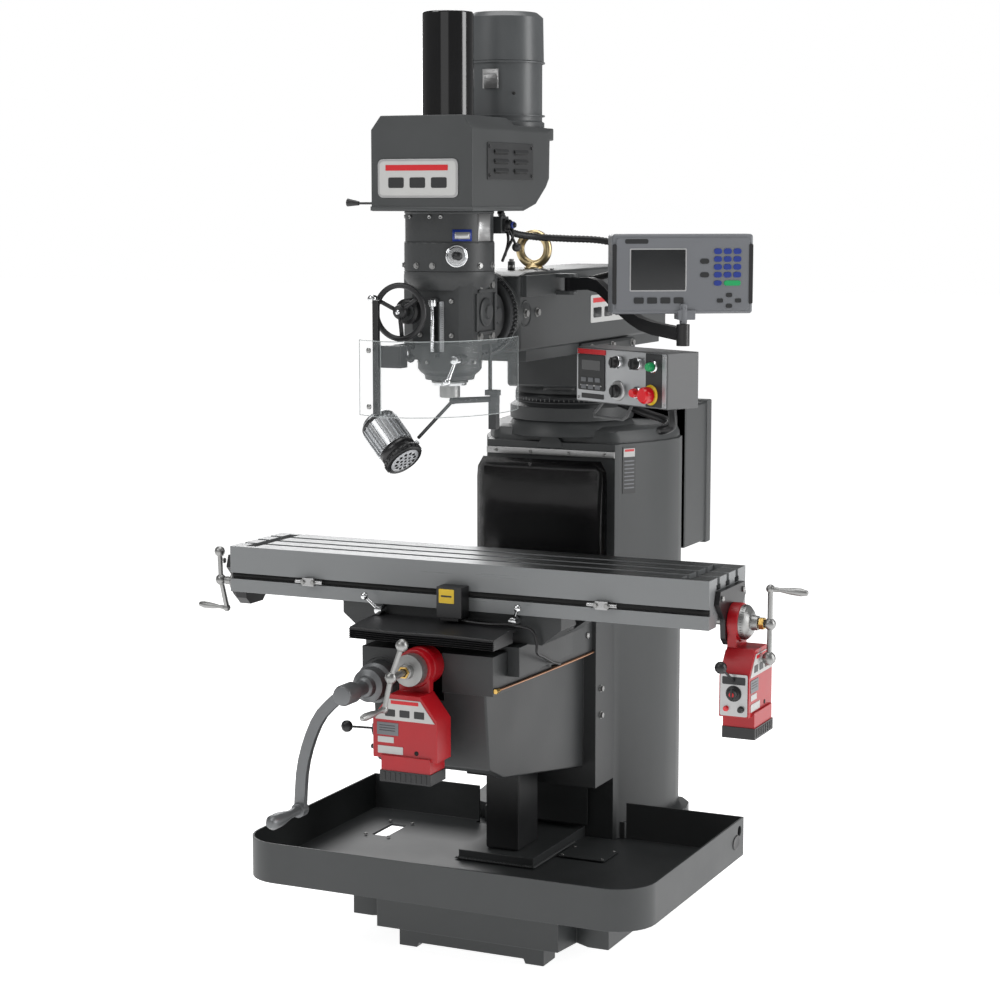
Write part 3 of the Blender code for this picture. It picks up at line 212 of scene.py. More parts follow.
CAST_STEEL = surface("satin_steel", (0.32, 0.32, 0.315), 0.40, 1.0, vary=0.10, grain=260, bump=0.2)
SATIN_GREY = surface("satin_grey", (0.16, 0.165, 0.17), 0.38, 0.6, vary=0.10, grain=260, bump=0.15)
CHROME = surface("chrome_plate", (0.72, 0.73, 0.74), 0.08, 1.0, vary=0.04, grain=300, bump=0.02,
                 rough_vary=0.03)
ALLOY = surface("brushed_alloy", (0.50, 0.51, 0.52), 0.36, 1.0, vary=0.06, grain=420, bump=0.10,
                stretch=(1, 1, 5))
BRASS = surface("brass", (0.62, 0.40, 0.12), 0.28, 1.0, vary=0.12, grain=300, bump=0.1)
COPPER = surface("copper_tube", (0.50, 0.26, 0.15), 0.35, 1.0, vary=0.2, grain=120, bump=0.05)
DARK_STEEL = surface("dark_steel", (0.060, 0.062, 0.064), 0.42, 0.7, vary=0.15, grain=260, bump=0.2)
GOLD = surface("yellow_passivated", (0.58, 0.46, 0.26), 0.30, 1.0, vary=0.20, grain=140, bump=0.15)
SILVER = surface("silver_plate", (0.45, 0.45, 0.45), 0.32, 0.6, vary=0.04, grain=600, bump=0.06)
PALE = surface("pale_print", (0.50, 0.50, 0.49), 0.45, vary=0.04, grain=600, bump=0.03)
PRINT_RED = surface("red_print", (0.55, 0.010, 0.016), 0.38, vary=0.04, grain=600, bump=0.03)
PRINT_DARK = surface("dark_print", (0.016, 0.017, 0.018), 0.40, vary=0.05, grain=600, bump=0.03)
BLUE_KEY = surface("blue_key", (0.012, 0.032, 0.22), 0.35, vary=0.05, grain=800, bump=0.06)
GREEN_KEY = surface("green_key", (0.010, 0.32, 0.10), 0.30, vary=0.05, grain=800, bump=0.04)
RED_KEY = surface("red_key", (0.66, 0.004, 0.012), 0.24, vary=0.05, grain=800, bump=0.04, coat=0.4)
YELLOW = surface("yellow_print", (0.75, 0.50, 0.02), 0.38, vary=0.05, grain=600, bump=0.03)
BOX = surface("box_sheet", (0.105, 0.107, 0.109), 0.5, 0.15, vary=0.06, grain=420, bump=0.08,
              stretch=(1, 1, 4))
SHELL = surface("readout_shell_grey", (0.150, 0.156, 0.168), 0.42, vary=0.04, grain=900, bump=0.10)
SCREEN = surface("screen_glass", (0.008, 0.009, 0.010), 0.08, vary=0.10, grain=900, bump=0.0,
                 coat=0.5)
# Near-black painted shade: stands for the shade inside holes, slots and grooves. It is also the
# dark colour of the lamp's diodes.
SHADE_AND_DIODE_BLACK = surface("painted_shade_and_diode_black", (0.003, 0.003, 0.003), 0.7, vary=0.1, grain=200, bump=0.05)


def clear_plastic():
    mat = surface("clear_plastic", (0.55, 0.60, 0.61), 0.06, vary=0.02, grain=60, bump=0.01,
                  rough_vary=0.02)
    bsdf = mat.node_tree.nodes["Principled BSDF"]
    bsdf.inputs["Alpha"].default_value = 0.06
    bsdf.inputs["Specular IOR Level"].default_value = 0.2
    return mat


CLEAR = clear_plastic()
EDGE_CLEAR = surface("clear_edge", (0.42, 0.45, 0.45), 0.15, vary=0.1, grain=300, bump=0.02)
EDGE_CLEAR.node_tree.nodes["Principled BSDF"].inputs["Alpha"].default_value = 0.65
LENS = surface("lamp_lens", (0.55, 0.56, 0.58), 0.12, vary=0.1, grain=200, bump=0.3)



TABLE_PAINT = (0.200, 0.208, 0.212, 1)


def ground_on_top():
    """The table: ground bare iron where it faces up, painted sides."""
    mat = surface("ground_table", (0.135, 0.139, 0.142), 0.30, 1.0, vary=0.20, grain=240, bump=0.10,
                  stretch=(0.6, 8, 8))
    tree = mat.node_tree
    bsdf = tree.nodes["Principled BSDF"]
    normal = tree.nodes.new("ShaderNodeNewGeometry")
    split = tree.nodes.new("ShaderNodeSeparateXYZ")
    top = tree.nodes.new("ShaderNodeMapRange")
    top.inputs["From Min"].default_value = 0.8
    top.inputs["From Max"].default_value = 0.95
    tree.links.new(normal.outputs["True Normal"], split.inputs["Vector"])
    tree.links.new(split.outputs["Z"], top.inputs["Value"])
    tree.links.new(top.outputs["Result"], bsdf.inputs["Metallic"])
    mix = tree.nodes.new("ShaderNodeMix")
    mix.data_type = "RGBA"
    mix.inputs[6].default_value = TABLE_PAINT
    tree.links.new(bsdf.inputs["Base Color"].links[0].from_socket, mix.inputs[7])
    tree.links.new(top.outputs["Result"], mix.inputs[0])
    tree.links.new(mix.outputs[2], bsdf.inputs["Base Color"])
    return mat


TABLE = ground_on_top()

LOOKS = {
    GREY: ("base_casting", "chip_tray", "column_casting", "electrical_cabinet", "ram",
           "belt_cover"),
    GREY_CAST: ("knee_casting", "saddle_casting", "turret", "knuckle", "head_casting", "gearbox"),
    GREY_DARK: ("elevating_post",),
    MOTOR: ("motor",),
    RED: ("y_feed_housing", "x_feed_housing"),
    BLACK: ("end_bracket_left", "end_bracket_right", "guard_rail", "readout_arm", "pendant_arm"),
    TUBE: ("drawbar_tube",),
    PLASTIC: ("y_feed_lever", "x_feed_lever", "limit_switch", "feed_lever", "brake_lever",
              "mode_selector", "direction_selector",
              "speed_dial"),
    DARK_STEEL: ("lamp_arm",),
    STEEL: ("cover_strip", "stop_dog_left", "stop_dog_right"),
    CAST_STEEL: ("cross_crank", "x_leadscrew", "crank_left", "crank_right", "spindle"),
    SATIN_GREY: ("knee_crank",),
    CHROME: ("lock_lever_left", "lock_lever_right", "quill_lock", "range_selector", "quill"),
    TABLE: ("table_plate",),
    BOX: ("control_box",),
    ALLOY: ("lamp_head",),
    SHELL: ("readout",),
    CLEAR: ("guard_shield",),
    GREEN_KEY: ("start_button",),
    RED_KEY: ("stop_button", "emergency_button"),
}
# The width of each node's rounded edges, in metres, where it is not the usual one.
EDGE = {"base_casting": 0.002, "column_casting": 0.0015, "chip_tray": 0.001, "knee_casting": 0.0012,
        "saddle_casting": 0.001,
        "belt_cover": 0.0025, "ram": 0.0012, "turret": 0.001, "table_plate": 0.0008,
        "guard_shield": 0.0004,
        "x_feed_housing": 0.0012, "y_feed_housing": 0.0012, "readout": 0.002,
        "electrical_cabinet": 0.002}

USUAL_EDGE = 0.0009
NODE_WELD = 0.00002
FLAT_ANGLE = radians(0.6)
BEVEL_ANGLE = radians(38)


def dress_nodes():
    """Each CAD node gets its finish, rounded edges and smooth curves."""
    for look, names in LOOKS.items():
        for name in names:
            obj = NODES[name]
            for entry in obj.material_slots:
                entry.material = look
            if not obj.material_slots:
                obj.data.materials.append(look)
            for polygon in obj.data.polygons:
                polygon.use_smooth = True
            weld = obj.modifiers.new("weld", "WELD")
            weld.merge_threshold = NODE_WELD
            flat = obj.modifiers.new("flat", "DECIMATE")
            flat.decimate_type = "DISSOLVE"
            flat.angle_limit = FLAT_ANGLE
            round_edges(obj, EDGE.get(name, USUAL_EDGE))


def round_edges(obj, width):
    """A small bevel on sharp edges, with normals that keep flat faces flat."""
    mod = obj.modifiers.new("edges", "BEVEL")
    mod.width = width
    mod.segments = 2
    mod.limit_method = "ANGLE"
    mod.angle_limit = BEVEL_ANGLE
    mod.harden_normals = False
    mod.use_clamp_overlap = False
    even = obj.modifiers.new("even_shading", "WEIGHTED_NORMAL")
    even.weight = 80
    even.keep_sharp = False


# ---------------------------------------------------------------- mesh makers
SUNK = 0.0005  # how far a plate or key reaches into what it lies on


def frame_at(origin, normal, up=Z):
    """A local frame: x across, y up, z along the surface normal."""
    n = Vector(normal).normalized()
    side = Vector(up).cross(n).normalized()
    rise = n.cross(side)
    place = Matrix((side, rise, n)).transposed().to_4x4()
    place.translation = Vector(origin)
    return place


def finish(name, bm, body, look, edge=0.0):
    """Makes the piece from bm, gives it its finish and edges, and lets it ride its body."""
    bmesh.ops.recalc_face_normals(bm, faces=bm.faces[:])
    mesh = bpy.data.meshes.new(name)
    bm.to_mesh(mesh)
    bm.free()
    obj = bpy.data.objects.new(name, mesh)
    bpy.context.scene.collection.objects.link(obj)
    mesh.materials.append(look)
    for polygon in mesh.polygons:
        polygon.use_smooth = True
    if edge:
        round_edges(obj, edge)
    if body:
        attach(obj, body)
    return obj


def join(bm):
    """Joins points that coincide, such as the ends of a closed profile."""
    bmesh.ops.remove_doubles(bm, verts=bm.verts[:], dist=1e-6)


def polygon(radius, count):
    """The corners of a regular polygon about the origin."""
    return [(radius * cos(tau * n / count), radius * sin(tau * n / count)) for n in range(count)]


def torus_profile(ring, thick, steps):
    """The closed profile of a ring that is round in section."""
    points = [(ring + x, y) for x, y in polygon(thick, steps)]
    return points + points[:1]


def direction(degrees):
    """The level unit vector at this angle from +X."""
    return Vector((cos(radians(degrees)), sin(radians(degrees)), 0))


def turns(place, count):
    """The local frame at count even steps about its own z."""
    return [place @ Matrix.Rotation(tau * n / count, 4, "Z") for n in range(count)]


def shifted(place, x, y, z=0.0):
    return place @ Matrix.Translation((x, y, z))


def at(x, y, z):
    return Matrix.Translation((x, y, z))


def rounded(width, height, radius, steps=5):
    """The outline of a rounded rectangle about the origin."""
    points = []
    r = min(radius, width / 2 - 1e-5, height / 2 - 1e-5)
    for cx, cy, start in ((1, 1, 0), (-1, 1, 90), (-1, -1, 180), (1, -1, 270)):
        for n in range(steps + 1):
            a = radians(start + 90 * n / steps)
            points.append((cx * (width / 2 - r) + r * cos(a), cy * (height / 2 - r) + r * sin(a)))
    return points


def add_loft(bm, rows):
    """Adds a capped shape through rows of points, each row a loop of as many points."""
    rows = [[bm.verts.new(point) for point in row] for row in rows]
    bm.faces.new(rows[0][::-1])
    bm.faces.new(rows[-1])
    for a, b in zip(rows, rows[1:]):
        for n in range(len(a)):
            m = (n + 1) % len(a)
            bm.faces.new((a[n], a[m], b[m], b[n]))


def add_prism(bm, outline, place, low, high, taper=1.0):
    """Adds an outline between two heights of the local frame."""
    add_loft(bm, [[place @ Vector((x * k, y * k, h)) for x, y in outline]
                  for h, k in ((low, 1.0), (high, taper))])


def add_lathe(bm, profile, place, steps=24, sweep=tau):
    """Adds a turned shape: profile is (radius, height) from one end of the axis to the other."""
    rings = []
    whole = abs(sweep - tau) < 1e-6
    count = steps if whole else steps + 1
    for r, h in profile:
        if r < 1e-7:
            rings.append([bm.verts.new(place @ Vector((0, 0, h)))])
        else:
            angles = [sweep * n / steps for n in range(count)]
            rings.append([bm.verts.new(place @ Vector((r * cos(a), r * sin(a), h)))
                          for a in angles])
    for a, b in zip(rings, rings[1:]):
        for n in range(steps):
            m = (n + 1) % count if whole else n + 1
            quad = [a[n % len(a)], a[m % len(a)], b[m % len(b)], b[n % len(b)]]
            face = []
            for vert in quad:
                if vert not in face:
                    face.append(vert)
            if len(face) > 2:
                bm.faces.new(face)


def add_tube(bm, points, radius, steps=12, ribs=0.0):
    """Adds a round tube along points, capped, with rings standing out by ribs."""
    pts = [Vector(p) for p in points]
    side = None
    rings = []
    for i, p in enumerate(pts):
        run = (pts[min(i + 1, len(pts) - 1)] - pts[max(i - 1, 0)]).normalized()
        if side is None:
            side = run.orthogonal().normalized()
        side = (side - run * side.dot(run)).normalized()
        over = run.cross(side)
        r = radius + (ribs if i % 2 else 0.0)
        rings.append([p + side * x + over * y for x, y in polygon(r, steps)])
    add_loft(bm, rings)


def spline(points, count):
    """Points along a Catmull-Rom curve through the given ones."""
    pts = [Vector(p) for p in points]
    pts = [2 * pts[0] - pts[1]] + pts + [2 * pts[-1] - pts[-2]]
    spans = len(pts) - 3
    out = []
    for n in range(count):
        t = n * spans / (count - 1)
        i = min(int(t), spans - 1)
        t -= i
        a, b, c, d = pts[i:i + 4]
        square, cube = 2 * a - 5 * b + 4 * c - d, 3 * b - a - 3 * c + d
        out.append(0.5 * (2 * b + (c - a) * t + square * t**2 + cube * t**3))
    return out


def plate(name, body, look, place, width, height, radius, thick, edge, slot=None):
    """A rounded plate or label on a surface, sunk a little into it."""
    bm = bmesh.new()
    add_prism(bm, rounded(width, height, radius), place, -SUNK, thick)
    return finish(name, bm, body, look, edge)


def plates(prefix, body, face, rows):
    """Plates on one face: name, look, x, y, width, height, corner radius, thickness, edge, slot;
    the slot is not used.
    """
    for name, look, x, y, *rest in rows:
        plate(prefix + name, body, look, shifted(face, x, y), *rest)


def turned(name, body, look, profile, place, steps, edge=0.0):
    """A piece that is one turned shape."""
    bm = bmesh.new()
    add_lathe(bm, profile, place, steps)
    join(bm)
    return finish(name, bm, body, look, edge)


def screws(name, body, places, radius=0.004, height=0.003, look=STEEL):
    """Socket-head screws with a hexagon recess, all in one piece."""
    steps = 18
    bm = bmesh.new()
    for place in places:
        add_lathe(bm, [(0, -0.001), (radius, -0.001), (radius, height * 0.8),
                       (radius * 0.9, height), (radius * 0.55, height)], place, steps)
        corners = polygon(radius * 0.5, 6)
        rim = [bm.verts.new(place @ Vector((x, y, height)))
               for x, y in polygon(radius * 0.55, steps)]
        low = [bm.verts.new(place @ Vector((*corners[n // 3], height * 0.35)))
               for n in range(steps)]
        for n in range(steps):
            m = (n + 1) % steps
            bm.faces.new((rim[n], rim[m], low[m], low[n]))
        bm.faces.new(low)
    join(bm)
    return finish(name, bm, body, look)


def hex_bolts(name, body, places, radius, height):
    """Hexagon heads on washers, all in one piece."""
    bm = bmesh.new()
    for place in places:
        washer, thick = radius * 1.25, height * 0.2
        add_lathe(bm, [(0, -0.001), (washer, -0.001), (washer, thick), (0, thick)], place, 20)
        add_prism(bm, polygon(radius, 6), place, 0.0, height)
    return finish(name, bm, body, CAST_STEEL, 0.0005)


def knob(name, body, place, radius, height, look=PLASTIC, pointer=False):
    bm = bmesh.new()
    add_lathe(bm, [(0, 0), (radius * 1.05, 0), (radius * 1.05, height * 0.2),
                   (radius * 0.85, height * 0.28), (radius * 0.8, height * 0.9),
                   (radius * 0.7, height), (0, height)], place, 28)
    if pointer:
        outline = rounded(radius * 0.3, radius * 1.9, radius * 0.1)
        add_prism(bm, outline, place, height * 0.5, height * 1.15)
    return finish(name, bm, body, look, 0.0002)


def keys(name, body, look, place, spots, width, height, lift=0.0022, radius=0.0015):
    """Raised keys, bars or lines of one size at several spots, in one piece."""
    bm = bmesh.new()
    for x, y in spots:
        add_prism(bm, rounded(width, height, radius), shifted(place, x, y), -SUNK, lift, 0.93)
    return finish(name, bm, body, look, 0.0003)


# ---------------------------------------------------------------- head
SPINDLE = Vector((0, -0.54, 0))  # the spindle's axis
HEAD_FRONT, HEAD_SIDE = -0.6155, 0.0845  # flat faces of the head casting
GEAR_RADIUS = 0.104
TILT = Vector((0, -0.3735, 1.60))  # where the knuckle meets the ram
NOD = Vector((0.0755, -0.445, 1.60))
WHEEL = Vector((-0.066, -0.668, 1.615))
WHEEL_RADIUS = 0.062
DEPTH_SCREW_Y = -0.632


def dress_cover():
    low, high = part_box("belt_cover")
    front = frame_at((-0.008, low.y, 1.923), -Y)
    plate("badge_rim", "head", SILVER, front, 0.206, 0.088, 0.013, 0.0028, 0.0008, "steel")
    plate("badge_field", "head", PALE, front, 0.196, 0.078, 0.010, 0.0034, 0.0003)
    plate("badge_bar", "head", PRINT_RED, shifted(front, -0.002, 0.024), 0.160, 0.013, 0.001,
          0.0040, 0.0002)
    bm = bmesh.new()
    for x in (-0.055, 0.0, 0.055):
        add_prism(bm, rounded(0.040, 0.024, 0.004), shifted(front, x, -0.010), 0.003, 0.0040)
    finish("badge_blocks", bm, "head", PRINT_DARK, 0.0002)
    bm = bmesh.new()
    add_prism(bm, rounded(0.263, 0.010, 0.001), frame_at((0, low.y, low.z + 0.006), -Y), -0.002,
              0.0012)
    for side in (-1, 1):
        add_prism(bm, rounded(0.275, 0.010, 0.001),
                  frame_at((side * high.x, -0.5475, low.z + 0.006), side * X), -0.002, 0.0012)
    finish("cover_lip", bm, "head", GREY, 0.0006)
    for side, tag in ((1, "right"), (-1, "left")):
        panel = frame_at((side * high.x, -0.480, 1.963), side * X)
        plate("vent_panel_" + tag, "head", GREY_DARK, panel, 0.256, 0.086, 0.003, 0.0022, 0.0006,
              "casting_grey")
        hood = [(0.0, 0.006), (0.0038, 0.001), (0.0042, -0.003), (0.0030, -0.003), (0.0026, 0.0),
                (0.0, 0.003)]
        bm = bmesh.new()
        # dark holds near-black strips under the hoods: painted shade in the vent openings
        dark = bmesh.new()
        for x in (-0.055, 0.055):
            for y in (-0.022, 0.0, 0.022):
                place = shifted(panel, x, y, 0.0022)
                add_prism(dark, rounded(0.078, 0.008, 0.0035), shifted(place, 0, -0.003), 0.0,
                          0.0004)
                add_loft(bm, [[place @ Vector((end, rise, out)) for out, rise in hood]
                              for end in (-0.038, 0.038)])
        finish("vent_hoods_" + tag, bm, "head", GREY_DARK, 0.0004)
        finish("vent_slot_shade_" + tag, dark, "head", SHADE_AND_DIODE_BLACK)
        corners = [shifted(panel, x, y, 0.0022) for x in (-0.118, 0.118) for y in (-0.033, 0.033)]
        screws("vent_screws_" + tag, "head", corners, 0.0042, 0.0022, BLACK)


def dress_motor():
    low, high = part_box("motor")
    centre = Vector(((low.x + high.x) / 2, (low.y + high.y) / 2, 0))
    radius = (high.x - low.x) / 2
    bm = bmesh.new()
    place = Matrix.Translation(centre)
    for z in (2.206, 2.078):
        low, high, r, rim = z - 0.002, z + 0.002, radius - 0.002, radius + 0.0012
        add_lathe(bm, [(r, low), (rim, low), (rim, high), (r, high), (r, low)], place, 48)
    join(bm)
    finish("motor_bands", bm, "head", MOTOR, 0.0005)
    bm = bmesh.new()
    turn = place @ Matrix.Rotation(radians(-98), 4, "Z")
    r = radius + 0.0008
    add_lathe(bm, [(r - 0.002, 2.142), (r, 2.142), (r, 2.188), (r - 0.002, 2.188)], turn, 8,
              radians(24))
    bmesh.ops.solidify(bm, geom=bm.faces[:], thickness=0.0008)
    finish("motor_plate", bm, "head", SILVER)
    # A near-black disc on the motor frame: painted shade of a hole.
    out = direction(38 - 90)
    hole = frame_at(centre + out * radius + Z * 2.130, out)
    plate("motor_hole_shade", "head", SHADE_AND_DIODE_BLACK, hole, 0.008, 0.008, 0.004, 0.0006, 0.0)


def on_barrel(radius, azimuth, z):
    """A frame on a cylinder round the spindle, azimuth degrees from the front."""
    out = direction(azimuth - 90)
    return frame_at(SPINDLE + out * radius + Z * z, out)


def band(bm, radius, z0, z1, from_azimuth, to_azimuth, thick, steps=10):
    """A curved plate wrapped round the spindle axis."""
    start = Matrix.Translation(SPINDLE) @ Matrix.Rotation(radians(from_azimuth - 90), 4, "Z")
    inner, outer = radius - 0.001, radius + thick
    section = ((inner, z0), (outer, z0), (outer, z1), (inner, z1))
    angles = [radians(to_azimuth - from_azimuth) * n / steps for n in range(steps + 1)]
    add_loft(bm, [[start @ Vector((r * cos(a), r * sin(a), z)) for r, z in section]
                  for a in angles])


def dress_gearbox():
    for name, look, z0, z1, a0, a1, thick in (
            ("speed_plate", BLUE_KEY, 1.779, 1.806, 30, 56, 0.0009),
            ("gear_plate", SILVER, 1.779, 1.842, 66, 92, 0.0009),
            ("speed_plate_field", SILVER, 1.784, 1.800, 33, 53, 0.0014)):
        bm = bmesh.new()
        band(bm, GEAR_RADIUS, z0, z1, a0, a1, thick)
        finish(name, bm, "head", look)
    bm = bmesh.new()
    for z in (1.7755, 1.846):
        band(bm, GEAR_RADIUS, z - 0.0035, z + 0.0015, 0, 360, 0.0018, 56)
    join(bm)
    finish("gearbox_beads", bm, "head", GREY_CAST)
    hex_bolts("gearbox_bolts", "head", [on_barrel(GEAR_RADIUS + 0.0025, a, 1.722)
                                        for a in (-62, -20, 4, 68, 96)], 0.006, 0.005)
    screws("ring_screws", "head", [on_barrel(GEAR_RADIUS, a, 1.835) for a in (-70, -35, 0, 15)],
           0.0045, 0.003)
    place = on_barrel(0.1075, 35, 1.745)
    turned("range_ring", "head", CHROME, [(0.0215, 0.0), (0.026, 0.0), (0.026, 0.003),
                                          (0.0215, 0.003), (0.0215, 0.0)], place, 40)
    turned("range_knob", "range_selector", PLASTIC,
           [(0, 0.016), (0.006, 0.016), (0.0095, 0.021), (0.0098, 0.026), (0.007, 0.0305),
            (0, 0.0315)], place, 24)
    bm = bmesh.new()
    for points in (
            ((0.085, -0.455, 1.830), (0.110, -0.452, 1.822), (0.128, -0.46, 1.790),
             (0.118, -0.475, 1.755), (0.105, -0.47, 1.73)),
            ((0.088, -0.450, 1.812), (0.105, -0.445, 1.800), (0.112, -0.452, 1.775),
             (0.108, -0.462, 1.742))):
        add_tube(bm, spline(points, 20), 0.0035, 12)
    finish("air_hoses", bm, "head", RUBBER)
    bm = bmesh.new()
    valve = frame_at((0.104, -0.453, 1.815), X)
    add_lathe(bm, [(0, 0), (0.013, 0), (0.013, 0.014), (0.010, 0.018), (0.006, 0.018),
                   (0.006, 0.028), (0, 0.028)], valve, 24)
    add_prism(bm, rounded(0.026, 0.03, 0.003), valve, -0.002, 0.006)
    add_tube(bm, [(0.125, -0.470, 1.800), (0.138, -0.480, 1.782), (0.150, -0.490, 1.767)], 0.003,
             10)
    ball = [(0.011 * sin(pi * n / 10), -0.011 * cos(pi * n / 10)) for n in range(11)]
    add_lathe(bm, ball, at(0.152, -0.492, 1.764), 20)
    finish("air_valve", bm, "head", PLASTIC, 0.0005)
    turned("air_valve_ring", "head", BLUE_KEY, [(0, 0.018), (0.0085, 0.018), (0.0085, 0.0235),
                                                (0, 0.0235)], valve, 24)


def dress_handwheel():
    place = frame_at(WHEEL, -Y)
    bm = bmesh.new()
    add_lathe(bm, torus_profile(WHEEL_RADIUS, 0.0068, 16), place, 64)
    join(bm)
    add_lathe(bm, [(0, -0.0275), (0.013, -0.0275), (0.0165, -0.004), (0.0175, 0.001),
                   (0.0145, 0.008), (0.009, 0.0105), (0, 0.0105)], place, 32)
    for a in (155, 275, 35):
        spoke = [place @ (direction(a) * r + Z * h)
                 for r, h in ((0.008, 0.0), (0.022, 0.001), (0.040, 0.0), (0.060, 0.0))]
        add_tube(bm, spoke, 0.0052, 12)
    wheel = finish("fine_feed_handwheel", bm, "fine_feed_wheel", PLASTIC)
    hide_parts("handwheel")
    bm = bmesh.new()
    tip = place @ Matrix.Translation(direction(150) * WHEEL_RADIUS)
    add_lathe(bm, [(0, 0), (0.0045, 0), (0.0045, 0.016), (0.0075, 0.020), (0.0105, 0.029),
                   (0.0110, 0.036), (0.0085, 0.043), (0, 0.0455)], tip, 24)
    add_lathe(bm, [(0, 0.0100), (0.006, 0.0100), (0.006, 0.013), (0, 0.013)], place, 6)
    finish("handwheel_knob", bm, "fine_feed_wheel", CHROME)
    turned("feed_boss", "head", BLACK, [(0.0225, -0.0625), (0.030, -0.0625), (0.030, -0.033),
                                        (0.0225, -0.030), (0.0225, -0.0625)], place, 40,
           0.0008)


def dress_head():
    bm = bmesh.new()
    add_tube(bm, [(0, DEPTH_SCREW_Y, 1.519), (0, DEPTH_SCREW_Y, 1.641)], 0.0042, 16)
    for n in range(30):
        z = 1.522 + n * 0.0039
        add_lathe(bm, [(0.0036, z), (0.0049, z + 0.001), (0.0036, z + 0.002)],
                  at(0, DEPTH_SCREW_Y, 0), 16)
    finish("depth_screw", bm, "head", CHROME)
    bm = bmesh.new()
    for z in (1.515, 1.643):
        add_prism(bm, rounded(0.020, 0.026, 0.004), at(0, -0.624, z), -0.006, 0.004)
    finish("depth_brackets", bm, "head", GREY_CAST, 0.0008)
    plate("depth_scale", "head", ALLOY, frame_at((0.017, HEAD_FRONT, 1.580), -Y), 0.011, 0.118,
          0.001, 0.0012, 0.0002, "steel")
    bm = bmesh.new()
    for n in range(23):
        long = 0.008 if n % 5 == 0 else 0.005
        spot = frame_at((0.0215 - long / 2, HEAD_FRONT - 0.0012, 1.526 + n * 0.005), -Y)
        add_prism(bm, rounded(long, 0.0006, 0.0002), spot, 0.0, 0.0003)
    finish("depth_marks", bm, "head", PRINT_DARK)
    places = [frame_at((x, HEAD_FRONT, z), -Y) for x in (-0.040, 0.042)
              for z in (1.690, 1.640, 1.560)]
    screws("head_screws", "head", places, 0.0055, 0.004, CAST_STEEL)
    places = [on_barrel(0.0765, a, 1.495) for a in (-45, -18, 75, 100)]
    screws("collar_screws", "head", places, 0.0042, 0.003, CAST_STEEL)
    places = [frame_at((0.085, y, z), X) for z in (1.675, 1.555) for y in (-0.555, -0.49)]
    hex_bolts("head_clamp_nuts", "head", places, 0.009, 0.007)
    place = frame_at((HEAD_SIDE, -0.520, 1.612), X)
    turned("side_cap", "head", GREY_CAST, [(0, -0.002), (0.034, -0.002), (0.034, 0.003),
                                           (0.030, 0.006), (0.018, 0.007), (0.016, 0.012),
                                           (0, 0.012)], place, 40, 0.0006)
    bm = bmesh.new()
    for y, z, wide, high in ((-0.522, 1.662, 0.082, 0.009), (-0.522, 1.563, 0.082, 0.009),
                             (-0.572, 1.612, 0.009, 0.090), (-0.474, 1.612, 0.009, 0.090)):
        spot = frame_at((HEAD_SIDE, y, z), X)
        add_prism(bm, rounded(wide, high, 0.004), spot, -0.004, 0.0055)
    finish("head_ribs", bm, "head", GREY_CAST, 0.0015)
    bm = bmesh.new()
    add_lathe(bm, [(0.0415, 1.4445), (0.0435, 1.4445), (0.0435, 1.4505), (0.0415, 1.4505)],
              Matrix.Translation(SPINDLE), 48)
    bmesh.ops.solidify(bm, geom=bm.faces[:], thickness=0.0006)
    finish("quill_scraper", bm, "head", STEEL)


def dress_knuckle():
    """Graduated flanges where the head nods and tilts."""
    bm = bmesh.new()
    place = frame_at(TILT, -Y)
    add_lathe(bm, [(0.080, 0.0), (0.0960, 0.0), (0.0960, 0.014), (0.090, 0.018), (0.080, 0.018),
                   (0.080, 0.0)], place, 72)
    join(bm)
    for spot in turns(place, 60):
        add_prism(bm, rounded(0.0060, 0.0050, 0.0012), shifted(spot, 0.0975, 0), 0.002, 0.013)
    finish("tilt_gear", bm, "knuckle", DARK_STEEL, 0.0004)
    bm = bmesh.new()
    face = frame_at(TILT + Y * 0.001, -Y)
    for n in range(-40, 41):
        long = 0.006 if n % 5 == 0 else 0.0035
        spot = face @ Matrix.Rotation(radians(n * 2), 4, "Z")
        add_prism(bm, rounded(long, 0.0009, 0.0002), shifted(spot, 0.1025 - long / 2, 0), 0.0,
                  0.0006)
    finish("tilt_marks", bm, "ram", SILVER)
    bm = bmesh.new()
    place = frame_at(NOD, X)
    for n in range(-14, 15):
        spot = place @ Matrix.Rotation(radians(n * 6) + pi, 4, "Z")
        add_prism(bm, rounded(0.010, 0.0055, 0.0015), shifted(spot, 0.0475, 0), -0.004, 0.0030)
    add_lathe(bm, [(0, -0.003), (0.044, -0.003), (0.044, 0.003), (0.020, 0.004), (0.018, 0.010),
                   (0, 0.010)], place, 48)
    finish("nod_quadrant", bm, "head", DARK_STEEL, 0.0004)


# ---------------------------------------------------------------- ram, turret and column
def facing(x, y, z, turn):
    """The frame of an upright front panel, turned about Z."""
    return at(x, y, z) @ Matrix.Rotation(turn, 4, "Z") @ Matrix.Rotation(radians(90), 4, "X")


RAM_SIDE, RAM_TOP = 0.1, 1.700
READOUT = facing(0.497, -0.300, 1.700, 0.571)
PENDANT = facing(0.341, -0.300, 1.450, -0.483)
EYE_Y = -0.052
TURRET = Vector((0, 0.2, 0))


